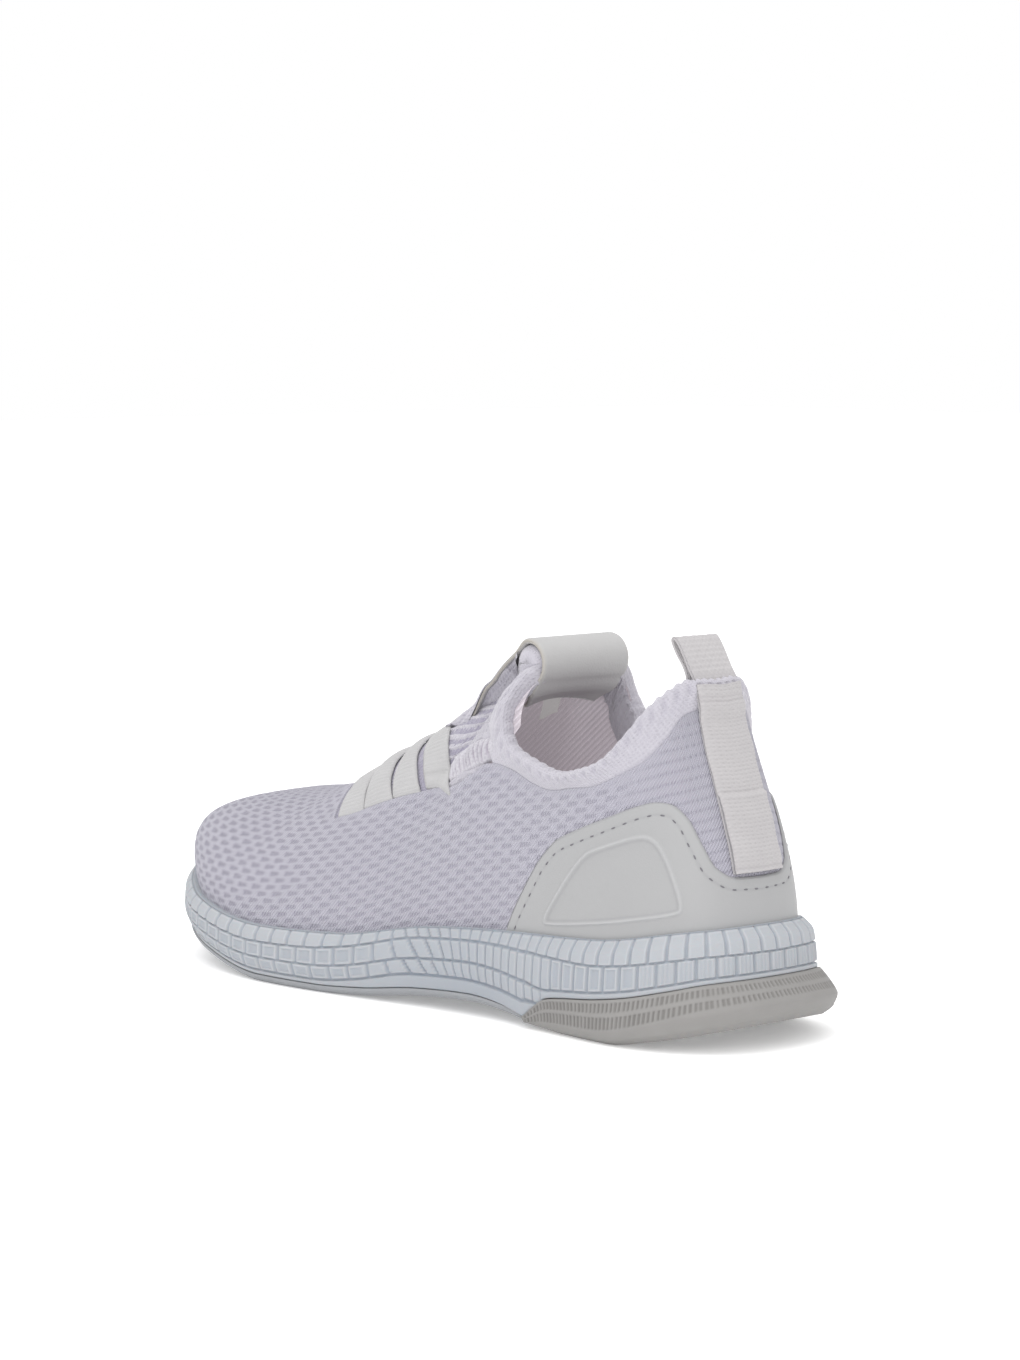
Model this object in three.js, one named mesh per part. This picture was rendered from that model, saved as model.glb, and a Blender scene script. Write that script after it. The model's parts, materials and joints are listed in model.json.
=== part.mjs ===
// Slip-on running shoe (left foot): sock-like knit upper with flat elastic bands over the throat,
// pull loops at the tongue and heel, a moulded heel overlay, a blocky foam midsole and rubber treads.
// Units are millimetres. +Y points to the toe, +Z up, and -X is the outer (lateral) side.
// Lengths along Y are measured from a heel datum here; the finished group is centred at the end.
import * as THREE from "three";
import { mergeVertices } from "three/addons/utils/BufferGeometryUtils.js";

// ---- Driving dimensions ----
const MESH_THICK = 1.2;
const LAYER_GAP = 0.7; // air between the stacked layers of the upper
const TOUCH_GAP = 0.3; // air between pieces that rest on each other
const STIFFENER_THICK = 1.0;
const FOAM_THICK = 2.6;
const LINING_THICK = 0.8;
const OVERLAY_THICK = 1.2;
const WEBBING_WIDTH = 19;
const WEBBING_THICK = 1.3;
const BAND_THICK = 1.3;
const LOOP_WIDTH = 40;
const LOOP_THICK = 1.8;
const STROBEL_THICK = 1.5;
const INSOLE_THICK = 4.5;
const RUBBER_THICK = 3;
const PERIMETER_STEPS = 40; // columns from the heel to the toe on each side

// ---- The upper's outer surface ----
// Each station joins a point of the feather line (where the upper meets the sole, lateral and medial)
// to a point of the top line: the collar's edge up to station 8, then the ridge down to the toe.
// lean: outward lean at the sole in degrees.
// finish: the way the section leaves the top line (out, forward, up).
// rise, reach: lengths of the section's handles at the sole and at the top line, as shares of its span.
const STATIONS = [
  {
    lateral: [0, 11], medial: [0, 11], top: [0, 33, 115],
    lean: -4, rise: 0.33, reach: 0.33, finish: [0, -0.24, -0.97],
  },
  {
    lateral: [-20, 16], medial: [20, 16], top: [13, 36, 112],
    lean: -3, rise: 0.33, reach: 0.33, finish: [0.12, -0.17, -0.98],
  },
  {
    lateral: [-32, 35], medial: [32, 35], top: [25, 46, 101],
    lean: 0, rise: 0.33, reach: 0.33, finish: [0.13, -0.05, -0.99],
  },
  {
    lateral: [-36.5, 60], medial: [35, 60], top: [31.5, 62, 91],
    lean: 2, rise: 0.33, reach: 0.33, finish: [0.1, -0.01, -0.99],
  },
  {
    lateral: [-37.5, 84], medial: [34, 84], top: [32, 79, 87],
    lean: 2, rise: 0.33, reach: 0.33, finish: [0.1, 0.0, -0.99],
  },
  {
    lateral: [-38, 104], medial: [33, 104], top: [31, 97, 96],
    lean: 2, rise: 0.32, reach: 0.33, finish: [0.16, 0.4, -0.9],
  },
  {
    lateral: [-39.5, 121], medial: [33, 121], top: [27, 100, 109.5],
    lean: 0, rise: 0.29, reach: 0.29, finish: [0.25, 0.86, -0.45],
  },
  {
    lateral: [-42, 138], medial: [34.5, 138], top: [18, 98.8, 118.3],
    lean: -2, rise: 0.26, reach: 0.26, finish: [0.38, 0.82, -0.42],
  },
  {
    lateral: [-45, 155], medial: [37, 155], top: [0, 100.3, 119.7],
    lean: -3, rise: 0.24, reach: 0.24, finish: [0.72, 0.65, -0.23],
  },
  {
    lateral: [-48.5, 175], medial: [41, 175], top: [0, 118, 114],
    lean: -3, rise: 0.23, reach: 0.22, finish: [0.87, 0.45, -0.21],
  },
  {
    lateral: [-51, 195], medial: [44.5, 195], top: [0, 145, 99.5],
    lean: -2, rise: 0.23, reach: 0.22, finish: [0.97, 0.2, -0.1],
  },
  {
    lateral: [-51.5, 215], medial: [46, 215], top: [0, 173, 85],
    lean: 1, rise: 0.25, reach: 0.24, finish: [1, 0, 0],
  },
  {
    lateral: [-49, 236], medial: [45, 236], top: [0, 200, 70.5],
    lean: 6, rise: 0.32, reach: 0.31, finish: [1, 0, 0],
  },
  {
    lateral: [-42.5, 256], medial: [41.5, 256], top: [0, 224, 65.2],
    lean: 12, rise: 0.42, reach: 0.42, finish: [0.95, 0.2, -0.03],
  },
  {
    lateral: [-31, 273], medial: [34, 273], top: [0, 242, 62.8],
    lean: 18, rise: 0.5, reach: 0.52, finish: [0.85, 0.42, -0.08],
  },
  {
    lateral: [-14, 286], medial: [21, 286], top: [0, 253, 60],
    lean: 20, rise: 0.5, reach: 0.55, finish: [0.6, 0.8, -0.2],
  },
  {
    lateral: [5, 291], medial: [5, 291], top: [0, 257, 58.6],
    lean: 20, rise: 0.5, reach: 0.55, finish: [0, 1, -0.25],
  },
];
const TOE = STATIONS.length - 1;
const TONGUE_TOP = 8; // the station where the collar meets the ridge
const LATERAL = -1;
const MEDIAL = 1;

// ---- Height profiles along Y ----
const featherHeight = profile([
  [0, 41], [20, 38], [50, 33], [90, 31], [130, 28], [170, 21.5], [210, 20], [250, 24], [275, 30], [292, 36],
]);
const groundClearance = profile([
  [-6, 11], [8, 7], [25, 3], [44, 0], [66, 0], [80, 1.2], [94, 3.6], [110, 4.8], [132, 4], [160, 1], [180, 0],
  [208, 0], [240, 4.5], [270, 11], [300, 19],
]);
// Where the foam ends and the rubber under it begins: high round the heel, then a thin sheet.
const HEEL_RUBBER_END = 81;
const heelSplit = profile([[-6, 23], [20, 20.5], [48, 17.2], [65, 15], [HEEL_RUBBER_END, 4.3]]);

// ---- Edges on the upper, as shares t of a section's height at station u ----
// A line across the throat: it leaves the mesh's edge at one station and meets the ridge at another.
const THROAT_EDGE = 0.44; // height of the mesh's edge along the throat
const throatLine = (edge, ridge) => (t) => {
  const share = THREE.MathUtils.clamp((1 - t) / (1 - THROAT_EDGE), 0, 1);
  return ridge - (ridge - edge) * share ** 3;
};
const throatLineHeight = (edge, ridge) => (u) => {
  const share = THREE.MathUtils.clamp((ridge - u) / (ridge - edge), 0, 1);
  return 1 - (1 - THROAT_EDGE) * share ** (1 / 3);
};
// Each elastic band spans from a pair of stations on the mesh's edge to a pair on the ridge, front to back.
const BANDS = [
  { edge: [9.72, 10.38], ridge: [11.42, 11.72] },
  { edge: [9.08, 9.66], ridge: [11.05, 11.36] },
  { edge: [8.5, 9.02], ridge: [10.64, 10.98] },
  { edge: [7.22, 8.38], ridge: [10.2, 10.57] },
];
const TONGUE_FRONT = { edge: 7.12, ridge: 10.14 }; // the tongue ends at the rear edge of the last band
const THROAT_FRONT = { edge: 10.43, ridge: 11.78 };
const COLLAR_SPLIT = 5.3; // the collar's rolled edge passes from the quarters to the tongue here
const quarterTop = profile([
  [0, 0.9], [1, 0.88], [1.4, 0.82], [1.9, 0.78], [2.6, 0.8], [3.6, 0.87], [4.6, 0.865], [5, 0.83],
  [5.45, 0.74], [5.93, 0.59], [6.5, 0.51], [7.2, 0.47], [8.5, 0.45], [THROAT_FRONT.edge, THROAT_EDGE],
]);
const throatFront = throatLineHeight(THROAT_FRONT.edge, THROAT_FRONT.ridge);
const tongueFront = throatLineHeight(TONGUE_FRONT.edge, TONGUE_FRONT.ridge);
const meshTop = (u) => (u < THROAT_FRONT.edge ? quarterTop(u) : throatFront(u));
const tongueBindingLow = profile([
  [5.2, 0.81], [5.75, 0.79], [6.2, 0.79], [7, 0.82], [7.6, 0.87], [8, 0.93], [8.4, 1],
]);
const rollTop = profile([
  [0, 1], [1.3, 1], [1.7, 0.965], [2.1, 0.915], [2.65, 0.9], [3.4, 0.94], [4.2, 0.965], [5.1, 0.925],
  [5.7, 0.92], [6.3, 0.97], [6.9, 1],
]);
const bindingLow = (u) => (u < COLLAR_SPLIT ? quarterTop(u) : tongueBindingLow(u));
const overlayTop = profile([
  [0, 0.2], [0.5, 0.205], [0.8, 0.25], [1, 0.36], [1.15, 0.46], [1.4, 0.545], [1.75, 0.59], [2.15, 0.605],
  [2.8, 0.615], [3.2, 0.6], [3.5, 0.575], [3.85, 0.46], [4.2, 0.2], [4.45, 0.02],
]);
const OVERLAY_FRONT = 4.42;
const bumperTop = profile([[14.4, 0.03], [15.2, 0.3], [16, 0.42]]);

// ---- Interpolation ----
function profile(points) {
  // A smooth curve through the points that never overshoots between them.
  const n = points.length;
  const slopes = points.slice(1).map((p, i) => (p[1] - points[i][1]) / (p[0] - points[i][0]));
  const tangents = points.map((_, i) => {
    if (i === 0) return slopes[0];
    if (i === n - 1) return slopes[n - 2];
    if (slopes[i - 1] * slopes[i] <= 0) return 0;
    return (2 * slopes[i - 1] * slopes[i]) / (slopes[i - 1] + slopes[i]);
  });
  return (x) => {
    if (x <= points[0][0]) return points[0][1];
    if (x >= points[n - 1][0]) return points[n - 1][1];
    const i = points.findIndex((p) => p[0] > x) - 1;
    const h = points[i + 1][0] - points[i][0];
    const f = (x - points[i][0]) / h;
    const a = points[i][1];
    const b = points[i + 1][1];
    const cubic = f * f * (3 - 2 * f);
    return a + (b - a) * cubic + h * f * (1 - f) * ((1 - f) * tangents[i] - f * tangents[i + 1]);
  };
}

function smoothStep(low, high, x) {
  return THREE.MathUtils.smoothstep(x, low, high);
}

// A Catmull-Rom curve through one value of every station; the ends mirror across the shoe's middle.
function along(values, u) {
  const last = values.length - 1;
  const i = Math.min(Math.floor(u), last - 1);
  const f = u - i;
  const mirrored = (value, end) => value.map((c, k) => (k === 0 ? 2 * end[0] - c : c));
  const before = i > 0 ? values[i - 1] : mirrored(values[1], values[0]);
  const after = i + 2 <= last ? values[i + 2] : mirrored(values[last - 1], values[last]);
  return values[i].map((b, k) => {
    const a = before[k];
    const c = values[i + 1][k];
    const d = after[k];
    const [linear, square, cube] = [c - a, 2 * a - 5 * b + 4 * c - d, 3 * b - a - 3 * c + d];
    return b + 0.5 * f * (linear + f * (square + f * cube));
  });
}

function stationValue(key, u) {
  const i = Math.min(Math.floor(u), TOE - 1);
  return THREE.MathUtils.lerp(STATIONS[i][key], STATIONS[i + 1][key], u - i);
}

function finishDirection(side, u) {
  const i = Math.min(Math.floor(u), TOE - 1);
  const direction = ({ finish: [out, forward, up] }) => new THREE.Vector3(side * out, forward, up);
  const [a, b] = [STATIONS[i], STATIONS[i + 1]].map(direction);
  return a.lerp(b, u - i).normalize();
}

const OUTLINES = { [LATERAL]: STATIONS.map((s) => s.lateral), [MEDIAL]: STATIONS.map((s) => s.medial) };
const TOP_LINES = {
  [LATERAL]: STATIONS.map((s) => [-s.top[0], s.top[1], s.top[2]]),
  [MEDIAL]: STATIONS.map((s) => s.top),
};

// ---- Points on the upper ----
function feather(side, u) {
  const [x, y] = along(OUTLINES[side], u);
  return new THREE.Vector3(x, y, featherHeight(y));
}

function crest(side, u) {
  const [x, y, z] = along(TOP_LINES[side], u);
  return new THREE.Vector3(u < TONGUE_TOP ? x : 0, y, z);
}

function outward(side, u) {
  if (u === 0 || u === TOE) return new THREE.Vector3(0, u === 0 ? -1 : 1, 0);
  const a = along(OUTLINES[side], Math.max(u - 0.01, 0));
  const b = along(OUTLINES[side], Math.min(u + 0.01, TOE));
  return new THREE.Vector3((b[1] - a[1]) * side, (a[0] - b[0]) * side, 0).normalize();
}

function upperPoint(side, u, t) {
  const low = feather(side, u);
  const high = crest(side, u);
  const span = low.distanceTo(high);
  const out = outward(side, u);
  const up = new THREE.Vector3(0, 0, 1);
  const lean = THREE.MathUtils.degToRad(stationValue("lean", u));
  const start = up.clone().multiplyScalar(Math.cos(lean)).addScaledVector(out, Math.sin(lean));
  const finish = finishDirection(side, u);
  const lowHandle = low.clone().addScaledVector(start, span * stationValue("rise", u));
  const highHandle = high.clone().addScaledVector(finish, span * stationValue("reach", u));
  return new THREE.CubicBezierCurve3(low, lowHandle, highHandle, high).getPoint(t);
}

function sideNormal(side, u, t) {
  const step = 0.02;
  const uc = THREE.MathUtils.clamp(u, step, TOE - step);
  const tc = THREE.MathUtils.clamp(t, step, 1 - step);
  const du = upperPoint(side, uc + step, tc).sub(upperPoint(side, uc - step, tc));
  const dt = upperPoint(side, uc, tc + step).sub(upperPoint(side, uc, tc - step));
  return du.cross(dt).multiplyScalar(side).normalize();
}

function upperNormal(side, u, t) {
  const onSeam = u === 0 || u === TOE || (t === 1 && u >= TONGUE_TOP);
  if (!onSeam) return sideNormal(side, u, t);
  return sideNormal(LATERAL, u, t).add(sideNormal(MEDIAL, u, t)).setX(0).normalize();
}

// A point at a distance outside (or, when negative, inside) the upper's outer surface.
function offsetPoint(side, u, t, distance) {
  return upperPoint(side, u, t).addScaledVector(upperNormal(side, u, t), distance);
}

// ---- Solids ----
function closedMesh(points, triangles) {
  const flat = triangles.flatMap(([a, b, c]) => [...points[a], ...points[b], ...points[c]]);
  const soup = new THREE.BufferGeometry().setAttribute("position", new THREE.Float32BufferAttribute(flat, 3));
  const merged = mergeVertices(soup, 1e-3);
  const kept = [];
  for (let i = 0; i < merged.index.count; i += 3) {
    const [a, b, c] = [0, 1, 2].map((k) => merged.index.getX(i + k));
    if (a !== b && b !== c && a !== c) kept.push(a, b, c);
  }
  merged.setIndex(kept);
  return facingOut(merged).toNonIndexed();
}

function facingOut(geometry) {
  const position = geometry.getAttribute("position");
  const index = Array.from(geometry.index.array);
  const corner = (i) => new THREE.Vector3().fromBufferAttribute(position, index[i]);
  let volume = 0;
  for (let i = 0; i < index.length; i += 3) volume += corner(i).dot(corner(i + 1).cross(corner(i + 2)));
  if (volume < 0) {
    for (let i = 0; i < index.length; i += 3) [index[i + 1], index[i + 2]] = [index[i + 2], index[i + 1]];
    geometry.setIndex(index);
  }
  return geometry;
}

// Gives a sheet thickness: outer and inner hold the same vertices on its two faces, and quads its patches.
function thicken(outer, inner, quads) {
  const key = (p) => p.toArray().map((c) => Math.round(c * 500)).join(",");
  const first = new Map();
  outer.forEach((p, i) => first.has(key(p)) || first.set(key(p), i));
  const same = outer.map((p) => first.get(key(p)));
  const triangles = quads
    .map((quad) => quad.map((i) => same[i]))
    .flatMap(([a, b, c, d]) => [[a, b, c], [a, c, d]])
    .filter(([a, b, c]) => a !== b && b !== c && a !== c);
  const edges = new Set(triangles.flatMap(([a, b, c]) => [`${a},${b}`, `${b},${c}`, `${c},${a}`]));
  const n = outer.length;
  const walls = [...edges]
    .map((edge) => edge.split(",").map(Number))
    .filter(([a, b]) => !edges.has(`${b},${a}`))
    .flatMap(([a, b]) => [[b, a, a + n], [b, a + n, b + n]]);
  const back = triangles.map(([a, b, c]) => [c + n, b + n, a + n]);
  const points = [...outer, ...inner].map((p) => p.toArray());
  return closedMesh(points, [...triangles, ...back, ...walls]);
}

function gridQuads(columns, rows, start = 0) {
  const quads = [];
  for (let i = 0; i < columns; i += 1) {
    for (let j = 0; j < rows; j += 1) {
      const a = start + i * (rows + 1) + j;
      quads.push([a, a + 1, a + rows + 2, a + rows + 1]);
    }
  }
  return quads;
}

function reversed(quads) {
  return quads.map((quad) => [...quad].reverse());
}

// The perimeter columns between two stations; every layer shares them, so the layers' facets run parallel.
function columnsBetween(from, to) {
  const inside = [];
  for (let i = 0; i <= PERIMETER_STEPS; i += 1) {
    const u = (i * TOE) / PERIMETER_STEPS;
    if (u > from + 0.1 && u < to - 0.1) inside.push(u);
  }
  return [from, ...inside, to];
}

// A sheet of the upper on both sides: place gives a side's station and height for each column and row share.
function sheet({ columns, rows, place, outer, inner }) {
  const outerPoints = [];
  const innerPoints = [];
  const quads = [];
  for (const side of [LATERAL, MEDIAL]) {
    const grid = gridQuads(columns.length - 1, rows, outerPoints.length);
    quads.push(...(side === LATERAL ? grid : reversed(grid)));
    for (const column of columns) {
      for (let j = 0; j <= rows; j += 1) {
        const [u, t] = place(side, column, j / rows);
        outerPoints.push(offsetPoint(side, u, t, outer(u, t)));
        innerPoints.push(offsetPoint(side, u, t, inner(u, t)));
      }
    }
  }
  return thicken(outerPoints, innerPoints, quads);
}

// A sheet between two stations, and between a low and a high edge.
function layer({ from, to, low, high, outer, inner, rows }) {
  const place = (side, u, share) => [u, THREE.MathUtils.lerp(low(u, side), high(u, side), share)];
  return sheet({ columns: columnsBetween(from, to), rows, place, outer, inner });
}

// Closed loops of the sole, stacked: each ring goes up the lateral side and back down the medial one.
function stackedRings(from, to, rings) {
  const columns = columnsBetween(from, to);
  const loop = [...columns.map((u) => [LATERAL, u]), ...columns.toReversed().map((u) => [MEDIAL, u])];
  const count = loop.length;
  const points = rings.flatMap((ring) => loop.map(([side, u]) => ring(side, u).toArray()));
  const triangles = [];
  const quad = (a, b, c, d) => triangles.push([a, b, c], [a, c, d]);
  for (let k = 0; k < rings.length - 1; k += 1) {
    for (let i = 0; i < count; i += 1) {
      const next = (i + 1) % count;
      quad(k * count + i, k * count + next, (k + 1) * count + next, (k + 1) * count + i);
    }
  }
  const top = (rings.length - 1) * count;
  for (let i = 0; i < columns.length - 1; i += 1) {
    quad(count - 1 - i, count - 2 - i, i + 1, i);
    quad(top + i, top + i + 1, top + count - 2 - i, top + count - 1 - i);
  }
  return closedMesh(points, triangles);
}

// ---- The sole ----
function soleSplit(y) {
  return y < HEEL_RUBBER_END ? heelSplit(y) : groundClearance(y) + RUBBER_THICK;
}

function solePoint(side, u, distance, height) {
  const edge = feather(side, u).addScaledVector(outward(side, u), distance);
  return edge.setZ(height(edge));
}

// How far the foam's side stands out beyond the feather line, from its top edge (0) to its foot (1).
const heelness = (u) => 1 - smoothStep(2.5, 5, u);
const foamBulgeHeel = profile([[0, 2.5], [0.25, 6], [0.6, 7], [1, 7.5]]);
const foamBulgeFore = profile([[0, 2.5], [0.2, 4.6], [0.6, 5], [1, 2.6]]);
function foamRing(share) {
  return (side, u) => {
    const bulge = THREE.MathUtils.lerp(foamBulgeFore(share), foamBulgeHeel(share), heelness(u));
    const top = feather(side, u).z - TOUCH_GAP;
    return solePoint(side, u, bulge, (p) => THREE.MathUtils.lerp(top, soleSplit(p.y), share));
  };
}
const midsole = () => stackedRings(0, TOE, [1, 0.8, 0.55, 0.3, 0.12, 0].map(foamRing));

// Rubber between the ground and the foam, at a share of its height and a distance beyond the feather line.
function rubberRing(share, distance) {
  return (side, u) =>
    solePoint(side, u, distance(u), (p) => {
      const low = groundClearance(p.y);
      return THREE.MathUtils.lerp(low, Math.max(soleSplit(p.y) - TOUCH_GAP, low + 1), share);
    });
}

const HEEL_RUBBER_STATION = 3.87; // the station whose section stands at HEEL_RUBBER_END
const heelFlare = (u) => THREE.MathUtils.lerp(4, 15.5, 1 - smoothStep(0.3, 4.4, u));
const heelOutsole = () => stackedRings(0, HEEL_RUBBER_STATION, [
  rubberRing(0, (u) => heelFlare(u) - 5),
  rubberRing(0.18, (u) => heelFlare(u) - 1.2),
  rubberRing(0.4, heelFlare),
  rubberRing(1, (u) => THREE.MathUtils.lerp(3.2, 8.5, heelness(u))),
]);

const forefootOutsole = () => stackedRings(HEEL_RUBBER_STATION + 0.12, TOE, [
  rubberRing(0, () => 0.5),
  rubberRing(0.45, () => 2.4),
  rubberRing(1, () => 3),
]);

// A flat layer of the shoe's floor, a height above the feather line and set in from it.
function floorLayer(setIn, base, thickness) {
  const ring = (height) => (side, u) => solePoint(side, u, -setIn(u), () => feather(side, u).z + height);
  return stackedRings(0, TOE, [ring(base), ring(base + thickness)]);
}

// The board closes the upper's floor, and the insole lies on it, narrower so that it lifts past the padding.
const INSOLE_SET_IN = { heel: 8.6, fore: 6.6 };
const insoleSetIn = (u) => THREE.MathUtils.lerp(INSOLE_SET_IN.heel, INSOLE_SET_IN.fore, smoothStep(1, 3, u));
const strobelBoard = () => floorLayer(() => MESH_THICK + 2 * TOUCH_GAP, 0, STROBEL_THICK);
const insole = () => floorLayer(insoleSetIn, STROBEL_THICK + TOUCH_GAP, INSOLE_THICK);

// ---- The upper's layers ----
const constant = (value) => () => value;
const STIFFENER_FACE = -(MESH_THICK + LAYER_GAP);
const LINING_FACE = STIFFENER_FACE - STIFFENER_THICK - LAYER_GAP;

// The height share at which a section stands a length above the feather line.
function shareAbove(length) {
  return (u, side) => {
    const span = feather(side, u).distanceTo(crest(side, u));
    return length / (3 * stationValue("rise", u) * span);
  };
}
const aboveFloor = shareAbove(STROBEL_THICK + LAYER_GAP);

const upperMesh = () => layer({
  from: 0,
  to: TOE,
  low: constant(0),
  high: meshTop,
  outer: constant(0),
  inner: constant(-MESH_THICK),
  rows: 8,
});

// The collar's padding swells the lining inwards round the ankle.
const padding = (u, t) => (1 - smoothStep(4.2, 5.2, u)) * smoothStep(0.36, 0.56, t / quarterTop(u));
const liningFace = (u, t) => LINING_FACE - padding(u, t) * (FOAM_THICK - STIFFENER_THICK);
const lining = () => layer({
  from: 0,
  to: TOE,
  low: aboveFloor,
  high: (u) => Math.min(meshTop(u), 0.99),
  outer: liningFace,
  inner: (u, t) => liningFace(u, t) - LINING_THICK,
  rows: 8,
});

const stiffener = (from, to, high) => layer({
  from,
  to,
  low: aboveFloor,
  high,
  outer: constant(STIFFENER_FACE),
  inner: constant(STIFFENER_FACE - STIFFENER_THICK),
  rows: 5,
});

const heelCounter = () =>
  stiffener(0, 4.1, (u) => 0.9 * Math.min(quarterTop(u) - 0.28, overlayTop(u) + 0.2));
const toePuff = () => stiffener(13.2, TOE, constant(0.7));

const collarFoam = () => layer({
  from: 0,
  to: 4.6,
  low: (u) => quarterTop(u) - 0.22,
  high: (u) => quarterTop(u) - 0.02,
  outer: constant(STIFFENER_FACE),
  inner: (u, t) => Math.min(liningFace(u, t) + LAYER_GAP, STIFFENER_FACE - 0.8),
  rows: 3,
});

// The rolled knit edge round the foot's opening, swollen both ways between its two borders.
const binding = (from, to) => {
  const across = (u, t) => {
    const low = bindingLow(u);
    return THREE.MathUtils.clamp((t - low) / (rollTop(u) + 0.02 - low), 0, 1);
  };
  const swell = (u, t) => Math.sin(Math.PI * across(u, t));
  return layer({
    from,
    to,
    low: (u) => Math.min(bindingLow(u) + 0.012, 1),
    high: rollTop,
    outer: (u, t) => -0.4 + 1.4 * swell(u, t),
    inner: (u, t) => -2.6 - 1.8 * swell(u, t),
    rows: 4,
  });
};

// The stretch knit between the quarters: the tongue moves, and the throat panel under the bands stays.
const KNIT_FACE = -1.2;
const KNIT_THICK = 2;
const knit = (from, to, low, high) => layer({
  from,
  to,
  low,
  high,
  outer: constant(KNIT_FACE),
  inner: constant(KNIT_FACE - KNIT_THICK),
  rows: 6,
});
const KNIT_SEAM = 0.03;
const tongueKnit = () => knit(
  5.6,
  TONGUE_FRONT.ridge,
  (u) => Math.min(Math.max(quarterTop(u) + 0.05, tongueFront(u) + KNIT_SEAM), 1),
  (u) => (u < 8.7 ? THREE.MathUtils.clamp(tongueBindingLow(u) - 0.035, quarterTop(u) + 0.055, 0.96) : 1),
);
const throatKnit = () => {
  const low = (u) => meshTop(u) + KNIT_SEAM;
  const high = (u) => (u < TONGUE_FRONT.ridge + 0.1 ? Math.max(tongueFront(u - 0.1) - KNIT_SEAM, low(u)) : 1);
  return knit(7.7, THROAT_FRONT.ridge - 0.12, (u) => Math.min(low(u), 1), high);
};

const overlay = (from, to, high) => layer({
  from,
  to,
  low: constant(0.004),
  high,
  outer: constant(LAYER_GAP + OVERLAY_THICK),
  inner: constant(LAYER_GAP),
  rows: 5,
});

// ---- Straps ----
// Flat elastic over the throat, a little sunk between the mesh's two edges.
const elasticBand = ({ edge, ridge }) => {
  const rear = throatLine(edge[0], ridge[0]);
  const front = throatLine(edge[1], ridge[1]);
  return sheet({
    columns: [0, 0.5, 1],
    rows: 9,
    place: (side, column, share) => {
      const t = THREE.MathUtils.lerp(THROAT_EDGE + KNIT_SEAM, 1, share);
      return [THREE.MathUtils.lerp(rear(t), front(t), column), t];
    },
    outer: constant(BAND_THICK - 0.5),
    inner: constant(-0.5),
  });
};

// A station or height share, between two bounds, at which a point's distance from the middle plane is met.
function solveForWidth(halfWidth, low, high, point) {
  let [narrow, wide] = [low, high];
  for (let i = 0; i < 30; i += 1) {
    const middle = (narrow + wide) / 2;
    if (Math.abs(point(middle).x) < halfWidth) narrow = middle;
    else wide = middle;
  }
  return (narrow + wide) / 2;
}

// Webbing down the back of the heel, standing off where it crosses the rolled collar.
const standOff = profile([[0, 0.5], [0.84, 0.5], [0.9, 1.5], [1, 1.5]]);
const heelWebbing = () => sheet({
  columns: [0, 0.5, 1],
  rows: 14,
  place: (side, column, share) => {
    const t = THREE.MathUtils.lerp(0.225, 0.985, share);
    const u = solveForWidth((column * WEBBING_WIDTH) / 2, 0, 2, (x) => upperPoint(side, x, t));
    return [column === 0 ? 0 : u, t];
  },
  outer: (u, t) => standOff(t) + WEBBING_THICK,
  inner: (u, t) => standOff(t),
});

// A strip over the tongue's ridge between two stations, with faces at two distances.
const tongueStrip = (from, to, width, outer, inner, rows = 3) => layer({
  from,
  to,
  low: (u, side) => {
    const edge = solveForWidth(width / 2, 1, 0.5, (t) => upperPoint(side, u, t));
    return Math.min(Math.max(edge, tongueFront(u) + 2 * KNIT_SEAM), 1);
  },
  high: constant(1),
  outer: constant(outer),
  inner: constant(inner),
  rows,
});

// On the tongue: the strap's flat run outside, and the foam and the strap's anchor patch inside.
const PATCH_WIDTH = 34;
const TONGUE_INSIDE = KNIT_FACE - KNIT_THICK - LAYER_GAP;
const tonguePadding = () => tongueStrip(9, 9.8, PATCH_WIDTH, TONGUE_INSIDE, TONGUE_INSIDE - FOAM_THICK);
const tongueTape = () => tongueStrip(8.7, 10.1, LOOP_WIDTH - 4, LOOP_THICK - 0.4, -0.4, 4);
const anchorPatch = () => tongueStrip(8.45, 8.95, PATCH_WIDTH, TONGUE_INSIDE, TONGUE_INSIDE - 1.2);

// A closed outline in the middle plane, given as [y, z], spread across a width.
function spread(outline, holes, width) {
  const shape = new THREE.Shape(outline.map(([y, z]) => new THREE.Vector2(y, z)));
  shape.holes = holes.map((hole) => new THREE.Path(hole.map(([y, z]) => new THREE.Vector2(y, z))));
  const solid = new THREE.ExtrudeGeometry(shape, { depth: width, bevelEnabled: false });
  const axes = new THREE.Matrix4().makeBasis(
    new THREE.Vector3(0, 1, 0),
    new THREE.Vector3(0, 0, 1),
    new THREE.Vector3(1, 0, 0),
  );
  return solid.applyMatrix4(axes).translate(-width / 2, 0, 0);
}

// The tongue's strap rolls over its top edge in a wide arc, open to a finger from either side.
const ROLL = { y: 103.4, z: 119.2, radius: 8.7, from: 20, to: 202 };
function tongueLoop() {
  const steps = 16;
  const arc = (radius) => Array.from({ length: steps + 1 }, (_, i) => {
    const angle = THREE.MathUtils.degToRad(THREE.MathUtils.lerp(ROLL.from, ROLL.to, i / steps));
    return [ROLL.y + radius * Math.cos(angle), ROLL.z + radius * Math.sin(angle)];
  });
  return spread([...arc(ROLL.radius), ...arc(ROLL.radius - LOOP_THICK).reverse()], [], LOOP_WIDTH);
}

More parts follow.
